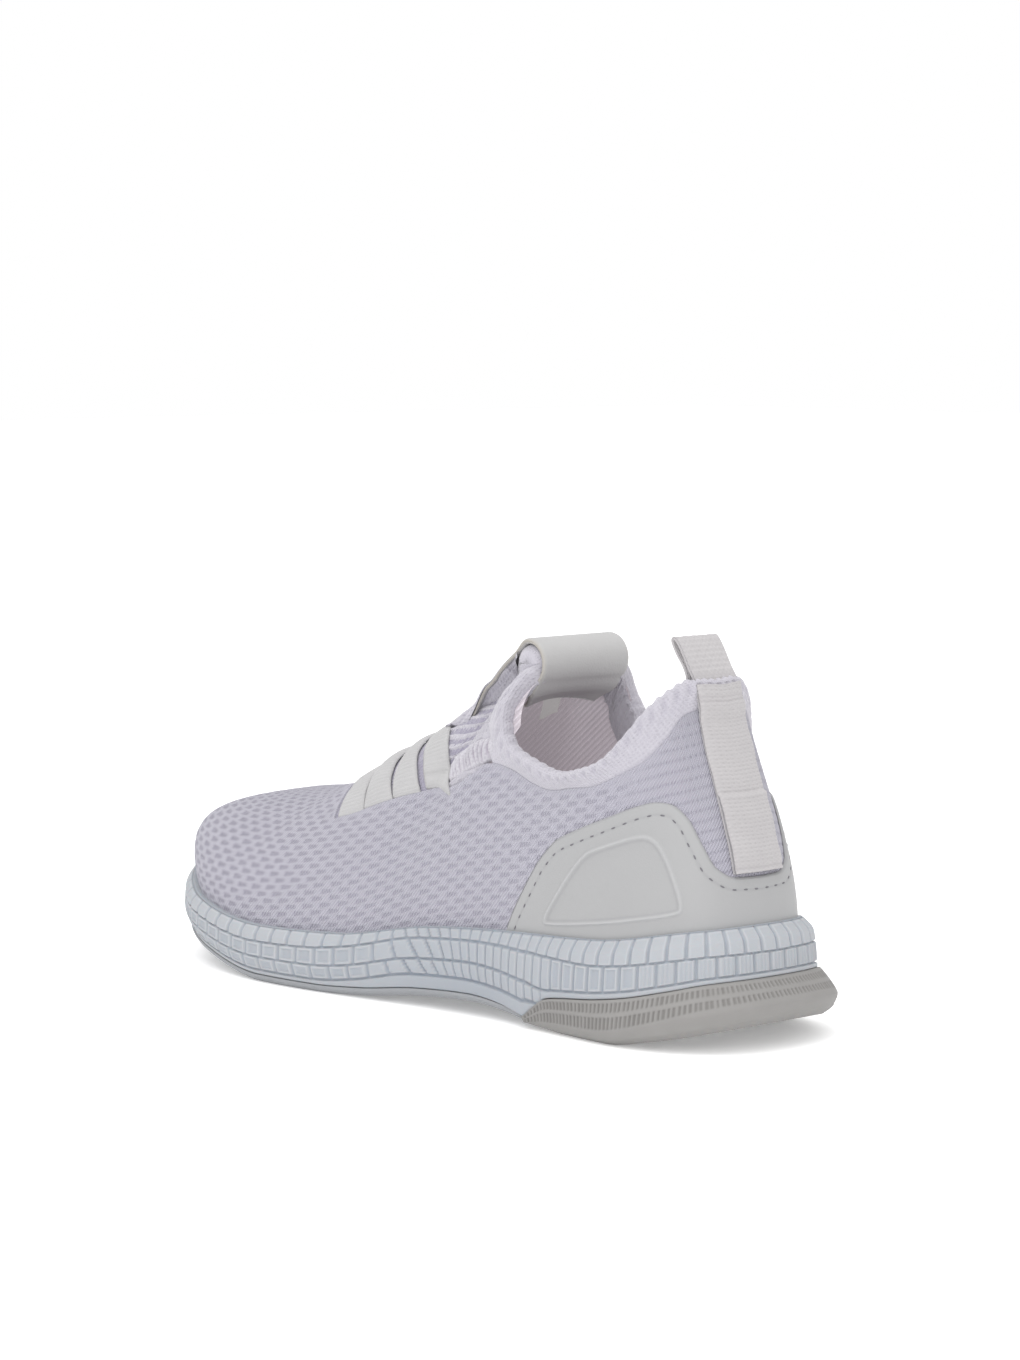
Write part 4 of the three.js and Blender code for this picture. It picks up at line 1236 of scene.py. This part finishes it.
# ---- Knit between the quarters ----
def folded_knit(bounds, low_of, high_of, fold, name, material, replaced, bends):
    """Knit on both sides, between two stations, up to the ridge; fold gives its relief."""
    build = Build()
    for a, b in ((-bounds[1], -bounds[0]), (bounds[0], bounds[1])):
        s = columns(a, b, 0.8)
        u = np.abs(s)[:, None]
        low, high = low_of(u), high_of(u)
        share = spread(90)
        t = low + (high - low) * share
        x, y = flat(s[:, None], t)
        waves = fold(np.abs(x), y, u)
        seam = np.where((high >= 0.9999) & (u >= TONGUE_TOP), 1, 0) * smooth(0.94, 1, share)
        out = -0.8 + waves * (1 - seam)
        # painted shade in the folds' troughs
        build.grid(skin(s[:, None], t, out), np.stack([x, y], -1), 0.55 * np.clip(-waves, 0, 1))
    made = build.object(name, material, None if bends else "shoe", replaced, "knit")
    return bend_with_tongue(made) if bends else made


def tongue_low(u):
    """Where the tongue's knit starts, under the quarters' edge."""
    front = throat_line_height(TONGUE_FRONT["edge"], TONGUE_FRONT["ridge"], u)
    return np.minimum(np.maximum(quarter_top(u) - 0.02, front - 0.02), 1)


def tongue_high(u):
    """Where it ends, under the tongue's rolled edge or on the ridge."""
    return np.where(u < 8.7, np.clip(tongue_binding_low(u) + 0.03, quarter_top(u) + 0.02, 1), 1.0)


def long_folds(x, y, u):
    """Folds that run beside the tongue's ridge."""
    slow = 2 * np.pi * (y + 0.9 * np.sin(x * 0.17)) / 4.6
    return (0.5 * np.sin(slow) + 0.22 * np.sin(slow * 2.3 + 1)) * smooth(5.6, 6.4, u) + 0.1 * np.sin(x * 1.3)


def small_folds(x, y, u):
    return 0.25 * np.sin(x * 2 * np.pi / 2.2)


def panel_low(u):
    """Where the throat's knit starts, under the mesh's edge."""
    return np.minimum(mesh_top(u) - 0.01, 1)


folded_knit((5.6, TONGUE_FRONT["ridge"]), tongue_low, tongue_high, long_folds, "tongue_knit_front", KNIT,
            ("tongue_knit",), True)
folded_knit((7.6, 11.72), panel_low, np.ones_like, small_folds, "throat_knit_panel", THROAT,
            ("throat_knit",), False)


# ---- Elastic bands ----
def elastic_band(number, band):
    """A ribbed band from one quarter over the ridge to the other; its ends dive under the quarters' edges."""
    share = np.linspace(0, 1, 120)
    cross = spread(22)
    build = Build()
    sides = []
    for side in (-1, 1):
        foot = float(mesh_top(np.mean(band["edge"]))) - 0.012
        t = foot + (1 - foot) * share
        rear, front = (throat_line(band["edge"][k], band["ridge"][k], t) for k in range(2))
        rear = rear - band["widening"] * smooth(0.53, 0.46, t)
        s = side * (rear[:, None] + (front - rear)[:, None] * cross)
        sides.append((s, np.broadcast_to(t[:, None], s.shape)))
    s, t = (np.concatenate([near, far[-2::-1]]) for near, far in zip(*sides))
    point, normal = surface(s, t)
    run = run_along(point[:, 11])[:, None]
    rib = 0.2 * ripple(run, 1.7)
    arch = 1 - (2 * cross - 1) ** 2
    reach = np.minimum(run, run[-1] - run)
    rise = smooth(0, 14, reach)
    dive = 1.4 * (1 - smooth(0, 2.2, reach))
    edge = np.clip(arch * 3, 0, 1)
    bulge = band["bulge"]
    lift = -0.15 + 0.6 * np.sqrt(edge) + arch * bulge * rise + rib * np.sqrt(edge) - dive
    outer = point + normal * lift[..., None]
    inner = point + normal * (0.1 + arch * (bulge - 0.3) * rise - dive - 0.5 * np.sqrt(edge))[..., None]
    uv = np.stack([np.broadcast_to(run, t.shape), np.broadcast_to(cross * 9, t.shape)], -1)
    build.plate(outer, inner, uv, 0.3 * (1 - edge) + 0 * t)
    return build.object(f"elastic_band_{number}", ELASTIC, "shoe", (f"throat_band_{number}",), "elastic")


for number, band in enumerate(BANDS, 1):
    elastic_band(number, band)


# ---- Puckered seam between the mesh and the tongue's side ----
# Places along the strip, each with the station and height of its two edges.
PUCKER_ROWS = np.array([
    (5.15, 0.87, 5.4, 0.89), (5.62, 0.69, 5.98, 0.73), (5.98, 0.6, 6.55, 0.66), (6.5, 0.535, 7.3, 0.6),
    (7.15, 0.49, 8.2, 0.555),
])


def puckered_seam():
    """A ruched strip over the mesh's edge, from the collar to the last band."""
    build = Build()
    share = np.linspace(0, 4, 220)
    rows = np.stack([np.interp(share, np.arange(5), PUCKER_ROWS[:, k]) for k in range(4)], -1)
    for side in (-1, 1):
        cross = spread(22)
        u = rows[:, :1] * (1 - cross) + rows[:, 2:3] * cross
        t = rows[:, 1:2] * (1 - cross) + rows[:, 3:4] * cross
        x = share[:, None] * 5.6
        arch = np.sin(np.pi * cross)
        pucker = ripple(x, 1.9, 1.2 * np.sin(3.1 * cross + x * 0.9)) * arch
        out = -1.3 + 2.3 * arch**0.5 + 0.5 * pucker
        uv = np.stack([np.broadcast_to(x, t.shape), cross * 8 + 0 * t], -1)
        # painted shade in the puckers' troughs
        build.grid(skin(side * u, t, out), uv, 0.9 * np.clip(-pucker, 0, 1), flip=side > 0)
    return build.object("throat_seam_pucker", PUCKER, "shoe", (), "knit")


puckered_seam()


# ---- Heel webbing and loop ----
WEBBING_HALF = 9.5
WEBBING_LONG = 88
CORD_PITCH = 1.9
# How far the strip stands off the upper, by height.
stand_off = profile((0, 0.5), (0.84, 0.5), (0.9, 1.5), (1, 1.5))


def weave(x, y):
    """Over and under of a coarse plain weave, -1 to 1."""
    return np.sin(np.pi * x / CORD_PITCH) * np.sin(np.pi * y / CORD_PITCH)


def hump(x, centre, width):
    """1 at the centre, falling to 0 on both sides; width is a square of millimetres."""
    return np.exp(-((x - centre) ** 2) / width)


def heel_webbing():
    """The strip up the heel: thicker below its fold, and sewn down at its foot and below the loop."""
    t = np.linspace(0.215, 0.99, 300)
    cross = np.linspace(-1, 1, 76)
    scan = np.linspace(0, 1.3, 400)
    half_u = np.empty(len(t))
    for i, height in enumerate(t):
        reach = np.abs(section(np.full_like(scan, -1), scan, np.full_like(scan, height))[:, 0])
        half = WEBBING_HALF + 0.9 * smooth(0.95, 0.7, height)
        half_u[i] = np.interp(half, np.maximum.accumulate(reach), scan)
    s = half_u[:, None] * cross[None, :]
    tt = np.broadcast_to(t[:, None], s.shape)
    up = np.interp(t, [t[0], t[-1]], [0, WEBBING_LONG])[:, None]
    x = cross[None, :] * WEBBING_HALF
    edge = np.clip((1 - np.abs(cross)) * 9, 0, 1)[None, :]
    fold = smooth(34.0, 36.5, up)
    step = 0.9 * (1 - fold) + 0.7 * np.exp(-(((up - 35.6) / 0.9) ** 2))
    seams = hump(up, 2.2, 0.3) + hump(up, 80, 0.5) + hump(up, 82, 0.5)
    cord = 0.13 * ripple(up, CORD_PITCH) * edge
    cord = cord + 0.3 * np.sin(up / 4.5 + x * 0.12) * np.sin(up / 7) + 0.05 * weave(x, up) * edge
    out = 0.6 + stand_off(tt) + 0.55 * np.sqrt(edge) + step + cord - 0.3 * seams
    points = skin(s, tt, out)
    inner = skin(s, tt, stand_off(tt) * 0.6)
    uv = np.stack([x + 0 * tt, up + 0 * tt], -1)
    shade = 0.35 * seams + 0.25 * (1 - edge) + 0 * tt
    made = Build().plate(points, inner, uv, shade)
    return made.object("heel_webbing_strip", WEBBING, "shoe", ("heel_webbing",), "webbing")


# The loop's outer face in the middle plane: up its rear leg, over the top, down the front leg.
HEEL_LOOP = np.array([
    (30.6, 110), (31.3, 113.5), (33.2, 117.5), (36, 121.5), (38.7, 126), (41, 129.4), (42.8, 131.2),
    (44.4, 131.2), (44.8, 129.6), (42.6, 125.8), (39.5, 121.8), (38, 118.5), (37.8, 115), (38.2, 111.5),
])
HEEL_LOOP_THICK = 1.4


def spline(points, step):
    """A smooth open curve through the points, resampled to even steps."""
    knots = np.vstack([2 * points[0] - points[1], points, 2 * points[-1] - points[-2]])
    f = np.linspace(0, 1, 24, endpoint=False)[:, None]
    pieces = [catmull_rom(*knots[i:i + 4], f) for i in range(len(points) - 1)]
    curve = np.vstack([*pieces, points[-1]])
    run = run_along(curve)
    stops = np.linspace(0, run[-1], int(run[-1] / step) + 1)
    return np.stack([np.interp(stops, run, curve[:, k]) for k in range(2)], -1), stops


def ribbon_face(path, out, x, offset, drop=0.0):
    """A face of a ribbon whose middle follows a path in the middle plane: moved along out, then lowered."""
    yz = path[:, None] + out[:, None] * offset[..., None]
    return np.stack([x + 0 * offset, yz[..., 0], yz[..., 1] - drop], -1)


def heel_loop():
    """The strip folded over into a loop above the collar, thinner at its edges."""
    path, run = spline(HEEL_LOOP, 0.3)
    direction = unit(np.gradient(path, axis=0))
    out = np.stack([-direction[:, 1], direction[:, 0]], -1)
    cross = np.linspace(-1, 1, 70)
    x = cross[None, :] * WEBBING_HALF
    edge = np.sqrt(np.clip((1 - np.abs(cross)) * 10, 0, 1))[None, :]
    rows = run[:, None]
    seams = hump(rows, 8.5, 0.35) + hump(rows, 10, 0.35)
    cord = 0.1 * ripple(rows, CORD_PITCH) + 0.06 * weave(x, rows)
    push = (cord - 0.3 * seams) * edge
    outer = ribbon_face(path, out, x, push)
    inner = ribbon_face(path, out, x, -HEEL_LOOP_THICK * (0.8 + 0.2 * edge) + 0 * push)
    uv = np.stack([x + 0 * push, rows + 0 * push], -1)
    build = Build().plate(outer, inner, uv, 0.3 * (1 - edge) + 0.4 * seams, flip=True)
    made = build.object("heel_webbing_loop", WEBBING, None, ("heel_pull_loop",), "webbing")
    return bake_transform(made)


heel_webbing()
heel_loop()


# ---- Strap over the tongue ----
LOOP_HALF = 20.0
STRAP_THICK = 1.9
# Where the strap's middle leaves the tongue and meets the roll, and where its inner end is sewn down.
STRAP_LEAVES = np.array([(123, 113), (118, 117.8), (113.2, 121.6)])
STRAP_INSIDE = np.array([(102.2, 108.8), (105.6, 106.3), (108.8, 104)])


def strap_path():
    """The strap's middle: up the tongue's ridge, over its top in a wide roll, and back down inside."""
    u = np.linspace(10.42, 9.4, 12)
    point, normal = surface(u, np.ones_like(u))
    lift = np.interp(u, [9.4, 10.2, 10.42], [0.9, 0.9, 0.2])[:, None]
    angle = np.radians(np.linspace(62, 232, 12))[:, None]
    radius = ROLL["radius"] - STRAP_THICK / 2
    roll = np.array([ROLL["y"], ROLL["z"]]) + radius * np.hstack([np.cos(angle), np.sin(angle)])
    return spline(np.vstack([(point + normal * lift)[:, 1:], STRAP_LEAVES, roll, STRAP_INSIDE]), 0.7)


def tongue_drop(y, x):
    """How far the upper falls, in the plane at y, from its ridge to distances x off the middle."""
    u = np.linspace(8, 12.5, 160)
    seen = []
    for t in np.linspace(1, 0.5, 40):
        p, _ = surface(u, np.full_like(u, t))
        at = np.interp(y, p[:, 1], u)
        seen.append([np.interp(at, u, p[:, k]) for k in (0, 2)])
    off, height = np.array(seen).T
    return height[0] - np.interp(np.abs(x), off, height)


def tongue_strap():
    """The strap with its roll: it drapes over the bands, droops at its edges, and is hollow where sewn."""
    path, run = strap_path()
    direction = unit(np.gradient(path, axis=0))
    out = np.stack([direction[:, 1], -direction[:, 0]], -1)
    cross = np.linspace(-1, 1, 61)
    edge = np.sqrt(np.clip((1 - np.abs(cross)) * 14, 0, 1))[None, :]
    end = run[-1] - run
    half = np.interp(run, [0, 12, 30, 60], [13.5, 16.5, 19.0, LOOP_HALF]) - 3.5 * smooth(9, 0, end)
    x = cross[None, :] * half[:, None]
    drape = smooth(125, 137, path[:, 0]) * (run < 70)
    sag = np.zeros_like(x)
    for i in np.flatnonzero(drape > 0):
        sag[i] = tongue_drop(path[i, 0], x[i]) * drape[i]
    droop = 2.4 * np.abs(cross) ** 5 * (smooth(104, 111, path[:, 0]) * (run < 70))[:, None]
    hollow = smooth(12, 0, end)[:, None] * 3.0 * (1 - cross[None, :] ** 2)
    outer, inner = (
        ribbon_face(path, out, x, turn * STRAP_THICK / 2 * edge - hollow, sag + droop) for turn in (1, -1)
    )
    uv = np.stack([x, run[:, None] + 0 * x], -1)
    shade = np.clip(1.4 - edge * 1.4, 0, 1) + 0 * x
    build = Build().plate(outer, inner, uv, shade)
    made = build.object("tongue_strap_roll", LEATHER, None, ("tongue_tape", "tongue_pull_loop"), "strap")
    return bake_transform(made)


tongue_strap()


KNIT_ENDS = (139, 107.5)  # where the knit beside the strap begins and ends, along the strap's middle
CROWN_HALF = 20.4


def strap_side_knit(build):
    """Knit that climbs from the tongue's rolled edge to the strap's edge, in folds beside the strap."""
    path, _ = strap_path()
    first, last = (np.argmax(path[:, 0] < y) for y in KNIT_ENDS)
    rows = np.linspace(first, last, 90)
    share = np.linspace(0, 1, 90)
    cross = spread(60)
    y, z = (np.interp(rows, np.arange(len(path)), path[:, k]) for k in range(2))
    drape = smooth(125, 137, y)
    sag = np.array([tongue_drop(a, np.array([LOOP_HALF - 1]))[0] * d for a, d in zip(y, drape)])
    for side in (-1, 1):
        edge = np.stack([np.full_like(y, side * (LOOP_HALF - 0.8)), y, z - sag - 1.2], -1)
        u, t = 9.75 - 2.6 * share, 0.74 + 0.12 * share
        foot, normal = surface(side * u, t)
        foot = foot - normal * 1.0
        points = edge[:, None] * (1 - cross[..., None]) + foot[:, None] * cross[..., None]
        length = np.linalg.norm(edge - foot, axis=1)[:, None]
        fold = ripple(cross * length + 0.5 * np.sin(share[:, None] * 9), 2.9)
        swell = np.sin(np.pi * cross) * np.clip(length / 6, 0, 1)
        points = points + normal[:, None] * (swell * (2.4 + 0.4 * fold))[..., None]
        uv = np.stack([share[:, None] * 40 + 0 * cross, cross * length], -1)
        # painted shade in the folds' troughs
        build.grid(points, uv, 0.6 * np.clip(-fold, 0, 1) * swell, flip=side < 0)


def tongue_crown(build):
    """The rounded end of the tongue, which fills the strap's roll."""
    angle = spread(49, 0, 2 * np.pi)
    x = CROWN_HALF * np.sin(np.linspace(-np.pi / 2, np.pi / 2, 61))[:, None]
    end = np.sqrt(np.clip(1 - (np.abs(x) / CROWN_HALF) ** 16, 0, 1))
    radius = (ROLL["radius"] - STRAP_THICK - 0.1) * end
    low = np.clip(-np.sin(angle), 0, 1)
    y = ROLL["y"] + radius * np.cos(angle) * (1 - 0.4 * low) + 3.5 * low
    points = np.stack([x + 0 * angle, y, ROLL["z"] + radius * np.sin(angle) * (1 + 0.7 * low)], -1)
    build.grid(points, np.stack([angle * 7 + 0 * x, x + 0 * angle], -1), 0.2 * (1 - end) + 0 * angle)


def tongue_side_knit():
    build = Build()
    strap_side_knit(build)
    tongue_crown(build)
    return bend_with_tongue(build.object("tongue_side_knit", KNIT, None, (), "knit"))


tongue_side_knit()

PATCH_HALF = 17
PATCH_STATION = 26  # millimetres to a station, where the patch is


def anchor_patch():
    """The patch inside the tongue where the strap is sewn down."""
    u = np.linspace(8.4, 9.1, 24)
    cross = np.linspace(-1, 1, 60)
    scan = np.linspace(1, 0.5, 200)
    reaches = [np.abs(surface(np.full_like(scan, station), scan)[0][:, 0]) for station in u]
    t = np.array([np.interp(PATCH_HALF * np.abs(cross), reach, scan) for reach in reaches])
    s = u[:, None] * np.where(cross < 0, -1, 1)[None, :]
    corner = np.minimum((u - u[0])[:, None] * PATCH_STATION, (1 - np.abs(cross))[None, :] * PATCH_HALF)
    edge = np.sqrt(np.clip(corner / 1.5, 0, 1))
    outer = skin(s, t, -5.0 - 0.3 * edge + 0.25 * hump(corner, 2.5, 0.2))
    inner = skin(s, t, -3.6 + 0 * edge)
    uv = np.stack([cross * PATCH_HALF + 0 * t, u[:, None] * PATCH_STATION + 0 * t], -1)
    build = Build().plate(outer, inner, uv, 0.3 * (1 - edge))
    return build.object("strap_anchor_patch", PATCH, "tongue", ("tongue_anchor_patch",), "strap")


anchor_patch()


# ---- Inside: lining, tongue lining and insole ----
LINING_DEPTH, TONGUE_LINING_DEPTH, PAD_THICK = 4.4, 3.7, 1.6


def padding(u, t):
    """Where the collar's foam pushes the lining in."""
    return (1 - smooth(4.2, 5.2, u)) * smooth(0.36, 0.56, t / quarter_top(u))


def slanted(points):
    """Distance across the lining's ribs, which are cuts by slanting planes, and distance along them."""
    across = points @ np.array([-0.49, 0.545, 0.71])
    along_rib = points @ np.array([0.6, -0.4, 0.7])
    return np.stack([across, along_rib], -1)


def lining():
    """Both sides, pushed in by the collar's foam and puckered under the rolled edge."""
    build = Build()
    for a, b in ((-TOE, 0), (0, TOE)):
        s = columns(a, b, 1.1)
        u = np.abs(s)[:, None]
        share = spread(110)
        low = 0.02
        high = np.where(u < COLLAR_SPLIT, roll_high(s)[:, None] - 0.04, np.minimum(mesh_top(u), 0.995))
        t = low + (high - low) * share
        pucker = 0.25 * ripple(girth(s)[:, None], 4.4) * smooth(0.86, 1, share)
        out = -LINING_DEPTH - PAD_THICK * padding(u, t) + pucker
        # painted shade: the lining darker towards its bottom, behind the throat
        low_painted_shade = smooth(0.46, 0.3, share) * (1 - smooth(6.5, 8, u)) + 0 * t
        points = skin(s[:, None], t, out)
        build.grid(points, slanted(points), low_painted_shade, flip=True)
    return build.object("quarter_lining", LINING, "shoe", ("lining",), "lining")


def tongue_lining():
    """The tongue's own lining, deeper under the strap."""
    build = Build()
    for a, b in ((-10.3, -5.3), (5.3, 10.3)):
        s = columns(a, b, 1.0)
        u = np.abs(s)[:, None]
        share = spread(90)
        low = np.minimum(quarter_top(u) - 0.05, 1)
        t = low + (1 - low) * share
        out = -TONGUE_LINING_DEPTH - 0.9 * smooth(7.6, 8.6, u) * smooth(10.3, 9.9, u) + 0 * t
        points = skin(s[:, None], t, out)
        build.grid(points, slanted(points), 0.0, flip=True)
    made = build.object("tongue_lining_pad", LINING, None, ("tongue_padding",), "lining")
    return bend_with_tongue(made)


INSOLE_LOW, INSOLE_THICK, INSOLE_DISH = 1.8, 4.9, 1.2


def insole():
    """From the middle of its underside out to the rim, up its rounded edge, and in over the dished top."""
    s = columns(-TOE, TOE, 1.0)
    set_in = 8.6 - 2 * smooth(1, 3, np.abs(s))
    edge = [(0, 0), (0, 1.5), (0.02, 3.6), (0.05, 4.5), (0.1, INSOLE_THICK)]
    top = [(a, INSOLE_THICK - INSOLE_DISH * math.sin(math.pi / 2 * a)) for a in np.linspace(0.14, 1, 40)]
    bottom = [(a, 0) for a in np.linspace(1, 0, 12)[:-1]]
    inward, lift = np.array(bottom + edge + top).T
    rim, centre = sole_point(s, -set_in, 0.0), centre_line(s, -set_in)
    points = rim[:, None] * (1 - inward[:, None]) + centre[:, None] * inward[:, None]
    points[..., 2] = feather_height(points[..., 1]) + INSOLE_LOW + lift
    made = Build().grid(points, points[..., :2])
    return made.object("insole_pad", SOCKLINER, "insole", ("insole",), "sockliner")


lining()
tongue_lining()
insole()

for node, material in (("strobel_board", BOARD), ("heel_counter", SHEET), ("toe_puff", SHEET)):
    frame["nodes"][node].data.materials.clear()
    frame["nodes"][node].data.materials.append(material)


# ---- Floor, light and camera ----
def stage_material():
    material = bpy.data.materials.new("pale_floor")
    material.use_nodes = True
    shader = material.node_tree.nodes["Principled BSDF"]
    shader.inputs["Base Color"].default_value = (0.93, 0.93, 0.93, 1)
    shader.inputs["Roughness"].default_value = 0.9
    shader.inputs["Specular IOR Level"].default_value = 0.1
    shader.inputs["Emission Color"].default_value = (1, 1, 1, 1)
    shader.inputs["Emission Strength"].default_value = 0.25
    return material


def floor():
    mesh = bpy.data.meshes.new("floor")
    size = 6.0
    corners = [(-size, -size, 0), (size, -size, 0), (size, size, 0), (-size, size, 0)]
    mesh.from_pydata(corners, [], [(0, 1, 2, 3)])
    mesh.materials.append(stage_material())
    made = bpy.data.objects.new("floor", mesh)
    bpy.context.scene.collection.objects.link(made)


def aimed(name, data, target, azimuth, elevation, distance):
    """A light or camera at a distance in metres from a target, looking at it."""
    a, e = math.radians(azimuth), math.radians(elevation)
    back = np.array([math.sin(a) * math.cos(e), -math.cos(a) * math.cos(e), math.sin(e)])
    made = bpy.data.objects.new(name, data)
    bpy.context.scene.collection.objects.link(made)
    made.location = world(target) + back * distance
    made.rotation_mode = "QUATERNION"
    made.rotation_quaternion = Vector(-back).to_track_quat("-Z", "Y")
    return made


def area_light(name, azimuth, elevation, distance, size, power):
    light = bpy.data.lights.new(name, "AREA")
    light.size, light.energy = size, power
    aimed(name, light, (0, 147, 50), azimuth, elevation, distance)


def camera():
    """The photo's view."""
    data = bpy.data.cameras.new("camera")
    data.sensor_width, data.lens = 36, 97.7
    data.shift_x, data.shift_y = 0.0184, 0.1228
    bpy.context.scene.camera = aimed("camera", data, (0, 147.5, 50), -41.5, 8.2, 1.3)


floor()
camera()
area_light("key", -75, 62, 1.6, 1.2, 7.5)
area_light("top", 20, 85, 1.5, 1.6, 5.5)
area_light("front", -48, 24, 1.6, 1.0, 5.0)
background = bpy.data.worlds.new("studio")
background.use_nodes = True
background.node_tree.nodes["Background"].inputs[0].default_value = (1, 1, 1, 1)
background.node_tree.nodes["Background"].inputs[1].default_value = 1.0
bpy.context.scene.world = background
bpy.context.scene.view_settings.view_transform = "Standard"
